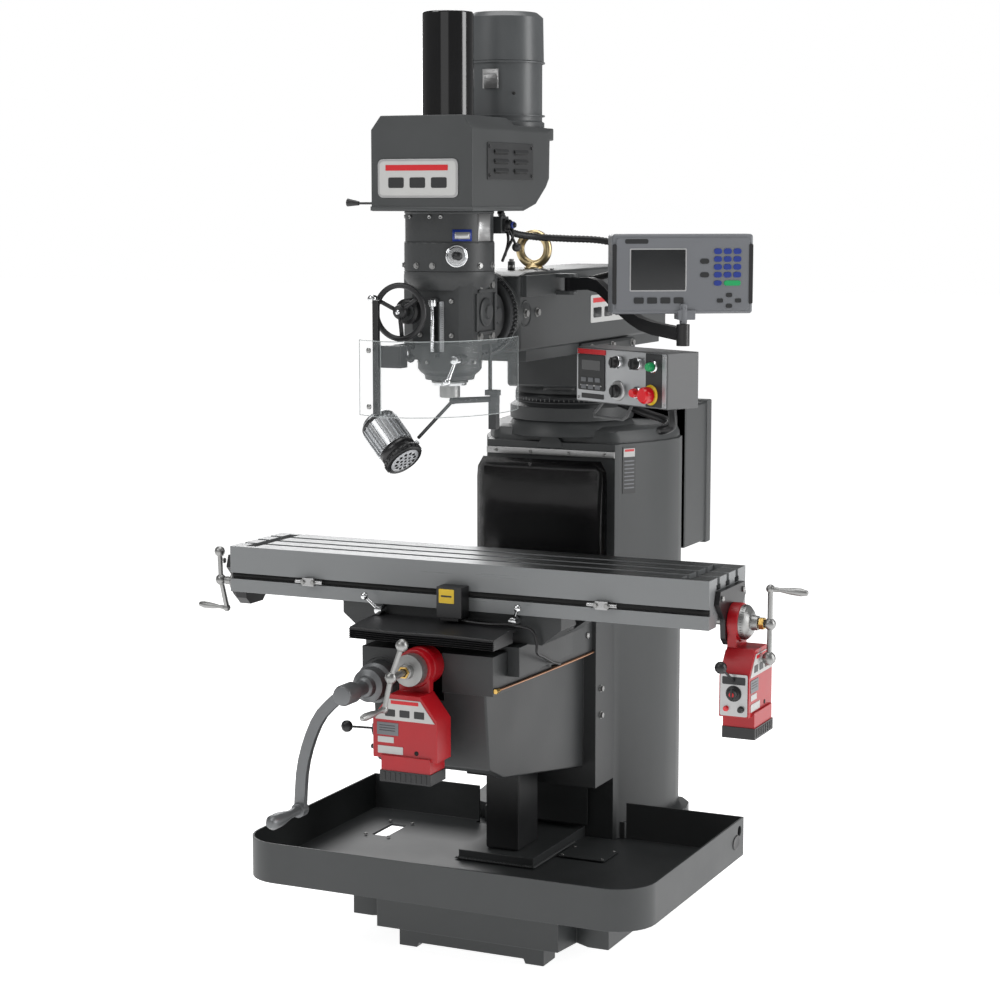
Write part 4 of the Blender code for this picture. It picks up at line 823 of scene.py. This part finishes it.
def dress_ram():
    bm = bmesh.new()
    side = frame_at((RAM_SIDE, -0.326, 1.60), X)
    add_lathe(bm, [(0, 0.001), (0.026, 0.001), (0.029, 0.0), (0.031, 0.002), (0.033, 0.0),
                   (0.033, -0.002), (0, -0.002)], side, 40)
    finish("ram_disc", bm, "ram", GREY_CAST)
    hex_bolts("ram_bolts", "ram", [side, frame_at((RAM_SIDE, -0.257, 1.60), X),
                                   frame_at((-RAM_SIDE, -0.257, 1.60), -X)], 0.009, 0.008)
    turned("ram_stud", "ram", CAST_STEEL, [(0, 1.699), (0.009, 1.699), (0.009, 1.712),
                                           (0.006, 1.715), (0.006, 1.728), (0, 1.728)],
           at(0, -0.19, 0), 24)
    badge = frame_at((RAM_SIDE, 0.205, 1.593), X)
    plate("ram_badge", "ram", PALE, badge, 0.24, 0.072, 0.006, 0.0012, 0.0003)
    plate("ram_badge_bar", "ram", PRINT_RED, shifted(badge, 0, 0.022), 0.21, 0.012, 0.001, 0.0018,
          0.0002)
    bm = bmesh.new()
    for x in (-0.075, 0.0, 0.075):
        add_prism(bm, rounded(0.055, 0.026, 0.004), shifted(badge, x, -0.010), 0.001, 0.0018)
    finish("ram_badge_blocks", bm, "ram", PRINT_DARK)
    places = [at(x, y, RAM_TOP) for x in (0.06, 0.085) for y in (-0.17, -0.13)]
    screws("arm_screws", "ram", places, 0.0055, 0.004)
    bm = bmesh.new()
    add_lathe(bm, torus_profile(0.0385, 0.0110, 20), frame_at((0, EYE_Y, 1.750), -Y), 64)
    join(bm)
    add_lathe(bm, [(0, 1.699), (0.024, 1.699), (0.025, 1.703), (0.020, 1.707), (0.013, 1.712),
                   (0.010, 1.718), (0, 1.718)],
              at(0, EYE_Y, 0), 32)
    ring = finish("lifting_eye", bm, "ram", GOLD)
    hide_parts("eye_bolt")


def dress_turret():
    bm = bmesh.new()
    profile = [(0.1500, 1.3485), (0.1512, 1.3485), (0.1512, 1.3705), (0.1500, 1.3705)]
    add_lathe(bm, profile, Matrix.Translation(TURRET), 72)
    bmesh.ops.solidify(bm, geom=bm.faces[:], thickness=0.0006)
    finish("turret_scale", bm, "turret", DARK_STEEL)
    bm = bmesh.new()
    for n in range(72):
        long = 0.010 if n % 6 == 0 else 0.006
        out = direction(n * 5)
        spot = frame_at(TURRET + Z * (1.3505 + long / 2) + out * 0.1512, out)
        add_prism(bm, rounded(0.0009, long, 0.0003), spot, 0.0, 0.0003)
    finish("turret_marks", bm, "turret", SILVER)
    places = [frame_at((side * 0.115, y, 1.494), side * X)
              for side in (-1, 1) for y in (0.06, 0.20, 0.34)]
    hex_bolts("turret_bolts", "turret", places, 0.0085, 0.008)
    label = bmesh.new()
    start = Matrix.Translation(TURRET) @ Matrix.Rotation(radians(-90), 4, "Z")
    section = ((0.1445, 1.3770), (0.1480, 1.3770), (0.1440, 1.3980), (0.1410, 1.3980))
    angles = [radians(-8 + 34 * n / 8) for n in range(9)]
    add_loft(label, [[start @ Vector((r * cos(a), r * sin(a), z)) for r, z in section]
                     for a in angles])
    finish("turret_label", label, "turret", PRINT_DARK)


def dress_column():
    low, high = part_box("cover_strip")
    mid = (low.z + high.z) / 2
    places = [frame_at((x, low.y, mid), -Y) for x in (-0.155, -0.055, 0.055, 0.155)]
    screws("strip_screws", "frame", places, 0.0045, 0.003, CAST_STEEL)
    label = frame_at((0.2028, 0.1048, 1.175), (0.848, -0.53, 0.0))
    plate("column_label", "frame", PRINT_DARK, label, 0.042, 0.122, 0.002, 0.0010, 0.0003)
    plate("column_label_top", "frame", PALE, shifted(label, 0, 0.046), 0.036, 0.022, 0.001, 0.0016,
          0.0002)
    plate("column_label_bar", "frame", PRINT_RED, shifted(label, 0, 0.052), 0.030, 0.006, 0.001,
          0.0020, 0.0001)
    keys("column_label_lines", "frame", SHELL, label, [(0, 0.024 - n * 0.010) for n in range(8)],
         0.034, 0.0035, 0.0016, 0.0004)
    bm = bmesh.new()
    low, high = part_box("rear_way_cover")
    width, front, top, bottom = high.x, low.y, high.z, low.z
    rows = []
    for i in range(15):
        t = i / 14
        z = top - (top - bottom) * t
        bulge = 0.006 * sin(pi * min(1, t * 1.6))
        inset = 0.018 * (1 - min(1, t * 9)) ** 2
        row = []
        for j in range(17):
            s = -1 + 2 * j / 16
            edge = abs(s) ** 6
            y = front + 0.0045 - bulge * (1 - edge) + 0.012 * edge
            row.append(bm.verts.new((s * (width - inset), y, z)))
        rows.append(row)
    for a, b in zip(rows, rows[1:]):
        for j in range(16):
            bm.faces.new((a[j], b[j], b[j + 1], a[j + 1]))
    bmesh.ops.solidify(bm, geom=bm.faces[:], thickness=0.003)
    bib = finish("rear_way_bib", bm, None, SHEET)
    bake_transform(bib)
    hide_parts("rear_way_cover")


def lead(name, points, count, radius, steps, ribs=0.0):
    """A ribbed or plain lead along a curve through points."""
    bm = bmesh.new()
    add_tube(bm, spline(points, count), radius, steps, ribs)
    return finish(name, bm, None, RUBBER)


def dress_conduits():
    """The three leads, each from where it leaves its housing to where it enters the next."""
    loom = lead("head_loom", [
        (0.060, -0.385, 1.847), (0.066, -0.345, 1.80), (0.10, -0.275, 1.785), (0.16, -0.22, 1.780),
        (0.235, -0.17, 1.775), (0.29, -0.12, 1.755), (0.26, -0.03, 1.715), (0.19, 0.03, 1.69),
        (0.105, 0.06, 1.67)], 150, 0.0078, 14, 0.0012)
    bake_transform(loom)
    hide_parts("head_conduit")
    start = PENDANT @ Vector((0.13, -0.0705, -0.05))
    loom = lead("pendant_loom", [
        start, start - Z * 0.04, (start.x - 0.04, start.y + 0.03, 1.325), (0.36, -0.02, 1.318),
        (0.26, 0.05, 1.335), (0.18, 0.10, 1.35)], 120, 0.0095, 14, 0.0014)
    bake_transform(loom)
    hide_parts("pendant_conduit")
    cable = lead("switch_lead", [
        (0.0508, -0.590, 0.8835), (0.080, -0.594, 0.8805), (0.130, -0.596, 0.8795),
        (0.185, -0.585, 0.880), (0.225, -0.565, 0.868), (0.236, -0.560, 0.836),
        (0.236, -0.556, 0.812), (0.228, -0.500, 0.792), (0.2155, -0.420, 0.764),
        (0.2110, -0.365, 0.7475), (0.1785, -0.335, 0.735)], 60, 0.0034, 12)
    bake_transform(cable)
    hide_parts("limit_cable")


# ---------------------------------------------------------------- readout, pendant, lamp and guard
def dress_readout():
    face = READOUT
    plates("", "readout", face, (
        ("readout_bezel", SHELL, 0, 0, 0.322, 0.170, 0.008, 0.0020, 0.0010, "readout_shell"),
        ("readout_grip_left", PLASTIC, -0.1645, 0, 0.010, 0.142, 0.004, 0.0034, 0.0010,
         "black_plastic"),
        ("readout_grip_right", PLASTIC, 0.1645, 0, 0.010, 0.142, 0.004, 0.0034, 0.0010,
         "black_plastic"),
        ("screen_frame", SILVER, -0.060, 0.010, 0.137, 0.101, 0.003, 0.0026, 0.0004),
        ("screen", SCREEN, -0.060, 0.010, 0.131, 0.095, 0.002, 0.0031, 0.0003),
        ("readout_tag", PRINT_DARK, -0.112, 0.077, 0.056, 0.011, 0.004, 0.0024, 0.0002)))
    number_spots = [(0.084 + n * 0.0235, 0.0535 - m * 0.0185) for n in range(3) for m in range(4)]
    for name, look, spots, *size in (
            ("soft_keys", PRINT_DARK, [(-0.106 + n * 0.032, -0.062) for n in range(4)],
             0.025, 0.015, 0.0036, 0.003),
            ("oval_keys", PRINT_DARK, [(0.052, 0.030), (0.052, -0.002)],
             0.023, 0.013, 0.0036, 0.006),
            ("number_keys", BLUE_KEY, number_spots, 0.020, 0.0140, 0.0038, 0.006),
            ("clear_key", BLUE_KEY, [(0.084, -0.0215)], 0.020, 0.0130, 0.0038, 0.006),
            ("enter_key", GREEN_KEY, [(0.1195, -0.0215)], 0.043, 0.0130, 0.0038, 0.006),
            ("arrow_keys", PRINT_DARK,
             [(0.112, -0.0500), (0.112, -0.0755), (0.090, -0.0630), (0.134, -0.0630)],
             0.016, 0.0105, 0.0036, 0.004)):
        keys(name, "readout", look, face, spots, *size)


DIAL, STOP = (-0.008, -0.033), (0.112, -0.035)  # the speed dial and the emergency button
MODE, TURN_WAY = (0.060, 0.036), (-0.012, 0.036)  # the two selectors
BUTTONS = ((0.120, 0.0325), (0.062, -0.033))


def dress_pendant():
    face = PENDANT
    plates("", "pendant", face, (
        ("pendant_panel", ALLOY, 0, 0, 0.330, 0.128, 0.003, 0.0014, 0.0004, "box_metal"),
        ("drive_keypad", PRINT_DARK, -0.108, 0.006, 0.100, 0.088, 0.004, 0.0040, 0.0008),
        ("drive_stripe", PRINT_RED, -0.108, 0.0565, 0.106, 0.012, 0.001, 0.0030, 0.0002),
        ("drive_display", SCREEN, -0.108, 0.024, 0.070, 0.024, 0.002, 0.0045, 0.0002)))
    keys("drive_keys", "pendant", SHELL, face,
         [(-0.135 + n * 0.0265, -0.012 - m * 0.0175) for n in range(3) for m in range(2)],
         0.020, 0.011, 0.0056)
    plates("", "pendant", face, (
        ("drive_lines", PALE, -0.108, -0.026, 0.080, 0.003, 0.001, 0.0045, 0.0001),
        ("drive_label", PRINT_DARK, -0.104, -0.052, 0.084, 0.012, 0.002, 0.0024, 0.0002),
        ("switch_strip", GREY_DARK, 0.122, 0, 0.058, 0.127, 0.002, 0.0022, 0.0003)))
    turned("dial_ring", "pendant", SILVER,
           [(0.010, 0.001), (0.0250, 0.001), (0.0250, 0.003), (0.022, 0.0045), (0.010, 0.0045)],
           shifted(face, *DIAL), 40)
    turned("stop_ring", "pendant", YELLOW,
           [(0.010, 0.001), (0.0245, 0.001), (0.0245, 0.0035), (0.010, 0.0045)],
           shifted(face, *STOP), 40)
    bm = bmesh.new()
    for spot in (*BUTTONS, MODE, TURN_WAY):
        add_lathe(bm, [(0.009, 0.001), (0.0155, 0.001), (0.0155, 0.0045), (0.0125, 0.0065),
                       (0.009, 0.0065)], shifted(face, *spot), 32)
    finish("switch_bezels", bm, "pendant", CHROME)
    for name, body, spot, radius in (("mode_knob", "mode_selector", MODE, 0.0135),
                                     ("direction_knob", "direction_selector", TURN_WAY, 0.0135),
                                     ("dial_knob", "speed_dial", DIAL, 0.0155)):
        knob(name, body, shifted(face, *spot, 0.009), radius, 0.013, pointer=True)
    corners = [shifted(face, x, y, 0.001) for x in (-0.158, 0.158) for y in (-0.057, 0.057)]
    screws("pendant_screws", "pendant", corners, 0.0035, 0.002)


LAMP_LENS = Vector((-0.142, -0.50, 1.246))
LAMP_AXIS = Vector((0.70, -0.229, -0.68))


def dress_lamp():
    place = frame_at(LAMP_LENS, LAMP_AXIS)
    outline = [(0.040, -0.122), (0.0485, -0.116), (0.0485, -0.045), (0.040, -0.040)]
    bm = bmesh.new()
    for spot in turns(place, 20):
        add_loft(bm, [[spot @ Vector((r, y, h)) for r, h in outline]
                      for y in (-0.0016, 0.0016)])
    finish("lamp_fins", bm, "lamp", ALLOY, 0.0005)
    bm = bmesh.new()
    for profile in (((0.0425, -0.128), (0.0455, -0.126), (0.0455, -0.119), (0.0425, -0.118)),
                    ((0.043, -0.040), (0.0462, -0.039), (0.0462, -0.019), (0.043, -0.018))):
        add_lathe(bm, profile, place, 40)
    finish("lamp_rings", bm, "lamp", BLACK)
    bm = bmesh.new()
    add_lathe(bm, [(0.036, 0.0002), (0.0470, 0.0002), (0.0490, -0.003), (0.0490, -0.013),
                   (0.0465, -0.018), (0.043, -0.019)], place, 48)
    for spot in turns(place, 24):
        spot = shifted(spot, 0.0490, 0, -0.008)
        add_prism(bm, rounded(0.0035, 0.006, 0.001), spot, -0.005, 0.004)
    finish("lamp_rim", bm, "lamp", PLASTIC)
    turned("lamp_lens_disc", "lamp", LENS, [(0, 0.0028), (0.020, 0.0024), (0.038, 0.0006),
                                            (0.038, -0.001), (0, -0.001)], place, 48)
    bm = bmesh.new()
    diode = [(0, 0.0038), (0.003, 0.0034), (0.0045, 0.0018), (0.0045, 0.0), (0, 0.0)]
    for spot in [(0, 0)] + polygon(0.013, 6) + polygon(0.026, 12):
        add_lathe(bm, diode, shifted(place, *spot), 12)
    finish("lamp_diodes", bm, "lamp", SHADE_AND_DIODE_BLACK)
    turned("lamp_cap", "lamp", BLACK, [(0, -0.1405), (0.022, -0.1405), (0.026, -0.138),
                                       (0.026, -0.136), (0, -0.136)], place, 32)


GUARD_LOW, GUARD_HIGH = 1.3785, 1.5525


def dress_guard():
    bm = bmesh.new()
    for z in (1.40, 1.530):
        place = frame_at((-0.100, -0.759, z), (-0.45, -0.89, 0))
        add_lathe(bm, [(0, -0.002), (0.006, -0.002), (0.006, 0.003), (0, 0.004)], place, 20)
    finish("guard_screws", bm, "guard", CAST_STEEL)
    plan = [(-0.136, -0.738, 0), (-0.100, -0.7565, 0), (-0.062, -0.776, 0)]
    plan += spline([(-0.055, -0.778, 0), (0.01, -0.766, 0), (0.07, -0.728, 0), (0.115, -0.665, 0),
                    (0.138, -0.590, 0), (0.145, -0.520, 0),
                    (0.135, -0.445, 0)], 25)
    bm = bmesh.new()
    for z in (GUARD_LOW, GUARD_HIGH):
        add_tube(bm, [(p[0], p[1], z) for p in plan], 0.0011, 8)
    for x, y in ((-0.136, -0.738), (0.135, -0.445), (-0.060, -0.7765)):
        add_tube(bm, [(x, y, z) for z in (GUARD_LOW, 1.465, GUARD_HIGH)], 0.0009, 8)
    finish("guard_edges", bm, "guard", EDGE_CLEAR)
    plate("guard_box_face", "head", PLASTIC, frame_at((-0.064, -0.7345, 1.5145), -Y), 0.060, 0.046,
          0.003, 0.0016, 0.0006, "black_plastic")


# ---------------------------------------------------------------- table, saddle and knee
def dress_table():
    low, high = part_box("table_plate")
    # The stop-dog groove along the table front: a near-black strip, painted shade in the groove.
    bm = bmesh.new()
    groove = frame_at(((low.x + high.x) / 2, low.y + 0.0082, 0.9405), -Y)
    add_prism(bm, rounded(high.x - low.x - 0.004, 0.012, 0.001), groove, 0.0, 0.0006)
    finish("stop_groove_shade", bm, "table", SHADE_AND_DIODE_BLACK)
    for name, x in (("left", -0.375), ("right", 0.405)):
        low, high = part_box("stop_dog_" + name)
        places = [frame_at((x + d, low.y, (low.z + high.z) / 2), -Y) for d in (-0.014, 0.014)]
        hex_bolts("dog_screws_" + name, "table", places, 0.0055, 0.005)
    for name, out in (("left", -X), ("right", X)):
        low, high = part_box("end_bracket_" + name)
        x = low.x if name == "left" else high.x
        places = [frame_at((x, y, high.z - 0.018), out) for y in (low.y + 0.022, high.y - 0.022)]
        screws("bracket_screws_" + name, "table", places, 0.007, 0.004, CAST_STEEL)


def dress_saddle():
    """The pleated cover, drawn as its section across and carried along X with a slight wave."""
    bm = bmesh.new()
    outline = [(-0.546, 0.8745), (-0.62, 0.8725), (-0.698, 0.8655)]
    for n in range(5):
        z = 0.8625 - n * 0.0050
        outline += [(-0.699, z), (-0.7055, z - 0.0022), (-0.699, z - 0.0040)]
    outline += [(-0.690, 0.8385), (-0.594, 0.8395), (-0.594, 0.864), (-0.546, 0.866)]
    steps = 12
    rows = []
    for i in range(steps + 1):
        x = -0.19 + 0.38 * i / steps
        wave = 0.0012 * sin(x * 23)
        rows.append([(x, y, z + wave * (1 if z > 0.86 else 0.4)) for y, z in outline])
    add_loft(bm, rows)
    bellows = finish("knee_bellows", bm, None, RUBBER, 0.0006)
    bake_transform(bellows)
    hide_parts("front_way_cover")
    tag = frame_at((0.021, -0.604, 0.940), -Y)
    plate("switch_tag", "saddle", YELLOW, tag, 0.040, 0.034, 0.002, 0.0012, 0.0002)
    tag = shifted(tag, 0, 0, 0.0012)
    plate("switch_marks", "saddle", PRINT_DARK, tag, 0.028, 0.004, 0.001, 0.0008, 0.0001)


KNEE_SIDE = 0.173
PIPE_X = 0.1775


def dress_knee():
    bm = bmesh.new()
    run = ((-0.655, 0.735), (-0.40, 0.728), (-0.10, 0.722), (-0.01, 0.724))
    add_tube(bm, spline([(PIPE_X, y, z) for y, z in run], 24), 0.0030, 12)
    add_tube(bm, [(PIPE_X, -0.012, 0.68), (PIPE_X, -0.012, 0.75)], 0.0030, 12)
    finish("oil_pipe", bm, "knee", COPPER)
    bm = bmesh.new()
    for y, z in ((-0.656, 0.735), (-0.012, 0.724)):
        place = frame_at((PIPE_X, y, z), Y)
        add_lathe(bm, [(0, -0.009), (0.0065, -0.009), (0.0065, 0.009), (0, 0.009)], place, 6)
    finish("oil_fittings", bm, "knee", BRASS, 0.0005)
    places = [frame_at((KNEE_SIDE, y, 0.770), X) for y in (-0.50, -0.30, -0.10)]
    screws("gib_screws", "knee", places, 0.008, 0.004, CAST_STEEL)
    places = [frame_at((0.185, -0.035, z), X) for z in (0.62, 0.55)]
    hex_bolts("knee_bolts", "knee", places, 0.008, 0.007)


CROSS_AXIS = Vector((0, -0.668, 0.788))
LONG_AXIS = Vector((0.6345, -0.433, 0.903))
LONG_DIAL = Vector((0.7005, -0.433, 0.903))


def feed_details(name, body, place):
    """Plates, knobs and trim of a power feed: -Y of place points outward, the box hangs below."""
    front = place @ frame_at((0, -0.114, -0.150), -Y)
    side = place @ frame_at((-0.084, -0.078, -0.152), -X)
    plates(name, body, side, (
        ("_panel", SILVER, 0, -0.004, 0.066, 0.098, 0.004, 0.0016, 0.0004),
        ("_panel_field", PRINT_DARK, 0, 0.030, 0.056, 0.018, 0.003, 0.0022, 0.0002),
        ("_dial_ring", PRINT_DARK, 0, 0, 0.038, 0.038, 0.019, 0.0024, 0.0002)))
    knob(name + "_speed_knob", body, shifted(side, 0, 0, 0.002), 0.0145, 0.016, pointer=True)
    plate(name + "_knob_dot", body, PRINT_RED, shifted(side, 0, 0, 0.018),
          0.012, 0.012, 0.006, 0.0014, 0.0002)
    knob(name + "_small_knob", body, shifted(side, 0.018, -0.036, 0.001), 0.0075, 0.012)
    knob(name + "_lamp", body, shifted(side, -0.018, -0.036, 0.001), 0.0065, 0.009, RED_KEY)
    bm = bmesh.new()
    outline = [(-0.078, 0.034), (0.078, 0.034), (0.040, 0.084), (-0.040, 0.084)]
    add_prism(bm, outline, front, -SUNK, 0.0014)
    finish(name + "_badge", bm, body, PALE, 0.0003)
    keys(name + "_badge_bar", body, PRINT_RED, front, [(0, 0.077)], 0.076, 0.009, 0.0020, 0.001)
    keys(name + "_badge_marks", body, PRINT_DARK, front,
         [(x, 0.051) for x in (-0.038, 0, 0.038)], 0.028, 0.018, 0.0020, 0.002)
    plates(name, body, front, (
        ("_label_a", SHELL, -0.045, 0.012, 0.056, 0.030, 0.001, 0.0010, 0.0002),
        ("_label_b", PALE, -0.050, -0.014, 0.042, 0.014, 0.001, 0.0010, 0.0002),
        ("_label_c", PALE, -0.038, -0.038, 0.066, 0.018, 0.001, 0.0010, 0.0002)))
    keys(name + "_lines", body, PRINT_DARK, front,
         [(-0.046, 0.020 - n * 0.006) for n in range(3)], 0.044, 0.0016, 0.0014, 0.0005)
    # A near-black disc: painted shade of a hole in the feed's front.
    plate(name + "_hole", body, SHADE_AND_DIODE_BLACK, shifted(front, 0.030, -0.040),
          0.011, 0.011, 0.0055, 0.0006, 0.0)
    bm = bmesh.new()
    left, right, out, back = -0.0626, 0.0706, -0.1226, -0.0425
    add_prism(bm, [(left, out), (right, out), (right, back), (left, back)], place, -0.2625, -0.2355)
    for n in range(9):
        groove = place @ frame_at((-0.050 + n * 0.0135, -0.1225, -0.249), -Y)
        add_prism(bm, rounded(0.005, 0.020, 0.001), groove, 0.0, 0.0014)
    finish(name + "_foot", bm, body, PLASTIC, 0.0006)
    turned(name + "_collar", body, RED,
           [(0.0125, 0.046), (0.0445, 0.046), (0.0445, 0.0685), (0.0425, 0.0695),
            (0.0125, 0.0695)], place @ frame_at((0, 0, 0), -Y), 48, 0.0005)
    places = [place @ frame_at((0.034 * cos(a), -0.0695, 0.034 * sin(a)), -Y)
              for a in (0.8, 2.35, 3.9, 5.5)]
    screws(name + "_screws", body, places, 0.0045, 0.003, BLACK)


def dial_marks(name, body, origin, axis, radius, along, count=40):
    bm = bmesh.new()
    place = frame_at(origin, axis, Z if abs(Vector(axis).z) < 0.9 else X)
    for n in range(count):
        a = tau * n / count
        long = 0.008 if n % 5 == 0 else 0.005
        out = (place.to_3x3() @ Vector((cos(a), sin(a), 0))).normalized()
        spot = place @ Vector((radius * cos(a), radius * sin(a), along))
        add_prism(bm, rounded(0.0007, long, 0.0002), frame_at(spot, out, Vector(axis)), -0.0002,
                  0.0004)
    finish(name, bm, body, PRINT_DARK)


def dress_feeds():
    feed_details("cross_feed", "knee", Matrix.Translation(CROSS_AXIS))
    turn = Matrix.Rotation(radians(90), 4, "Z")
    feed_details("long_feed", "table", Matrix.Translation(LONG_AXIS) @ turn)
    dial_marks("long_dial_marks", "long_screw", LONG_DIAL, X, 0.0408, 0.010)
    dial_marks("left_dial_marks", "long_screw", (-0.656, -0.433, 0.903), -X, 0.0342, 0.004)
    nut = [(0.011, 0.044), (0.0150, 0.044), (0.0150, 0.056), (0.011, 0.056)]
    for name, place in (("long_screw", frame_at(LONG_DIAL, X)),
                        ("cross_screw", frame_at(CROSS_AXIS - Y * 0.0665, -Y))):
        turned(name + "_nut", name, BRASS, nut, place, 6, 0.0006)


# ---------------------------------------------------------------- tray and base
TRAY_FLOOR = 0.200
COVER = (0.185, -0.115)  # the middle of the screwed cover in the tray
DRAIN = (-0.3925, -0.1175)


def screw_corners(centre, dx, dy, z):
    x, y = centre
    return [at(x + sx * dx, y + sy * dy, z) for sx in (-1, 1) for sy in (-1, 1)]


def dress_tray():
    plate("tray_cover", "frame", GREY, at(*COVER, TRAY_FLOOR),
          0.13, 0.10, 0.004, 0.0020, 0.0006, "casting_grey")
    screws("tray_cover_screws", "frame", screw_corners(COVER, 0.055, 0.04, TRAY_FLOOR + 0.002),
           0.0045, 0.002, CAST_STEEL)
    screws("drain_screws", "frame", screw_corners(DRAIN, 0.034, 0.070, TRAY_FLOOR),
           0.0045, 0.002, CAST_STEEL)
    bm = bmesh.new()
    bead = [(0, 0.0045), (0.0045, 0.0036), (0.0085, 0.0), (0, -0.001)]
    left, right, front, back = -0.106, 0.106, -0.285, -0.02
    steps = 24
    for x0, y0, x1, y1 in ((left, front, right, front), (right, front, right, back),
                           (left, back, left, front)):
        for n in range(steps):
            t = n / steps
            add_lathe(bm, bead, at(x0 + (x1 - x0) * t, y0 + (y1 - y0) * t, TRAY_FLOOR), 10)
    finish("weld_beads", bm, "frame", GREY)
    hole = frame_at((0.54, 0.020, 0.238), X)
    turned("tray_grommet", "frame", RUBBER,
           [(0, -0.001), (0.017, -0.001), (0.019, 0.001), (0.017, 0.002), (0.012, 0.001),
            (0, 0.001)], hole @ Matrix.Diagonal((1.5, 1, 1, 1)), 32)


camera()
studio()
dress_nodes()
dress_cover()
dress_motor()
dress_gearbox()
dress_handwheel()
dress_head()
dress_knuckle()
dress_ram()
dress_turret()
dress_column()
dress_conduits()
dress_readout()
dress_pendant()
dress_lamp()
dress_guard()
dress_table()
dress_saddle()
dress_knee()
dress_feeds()
dress_tray()
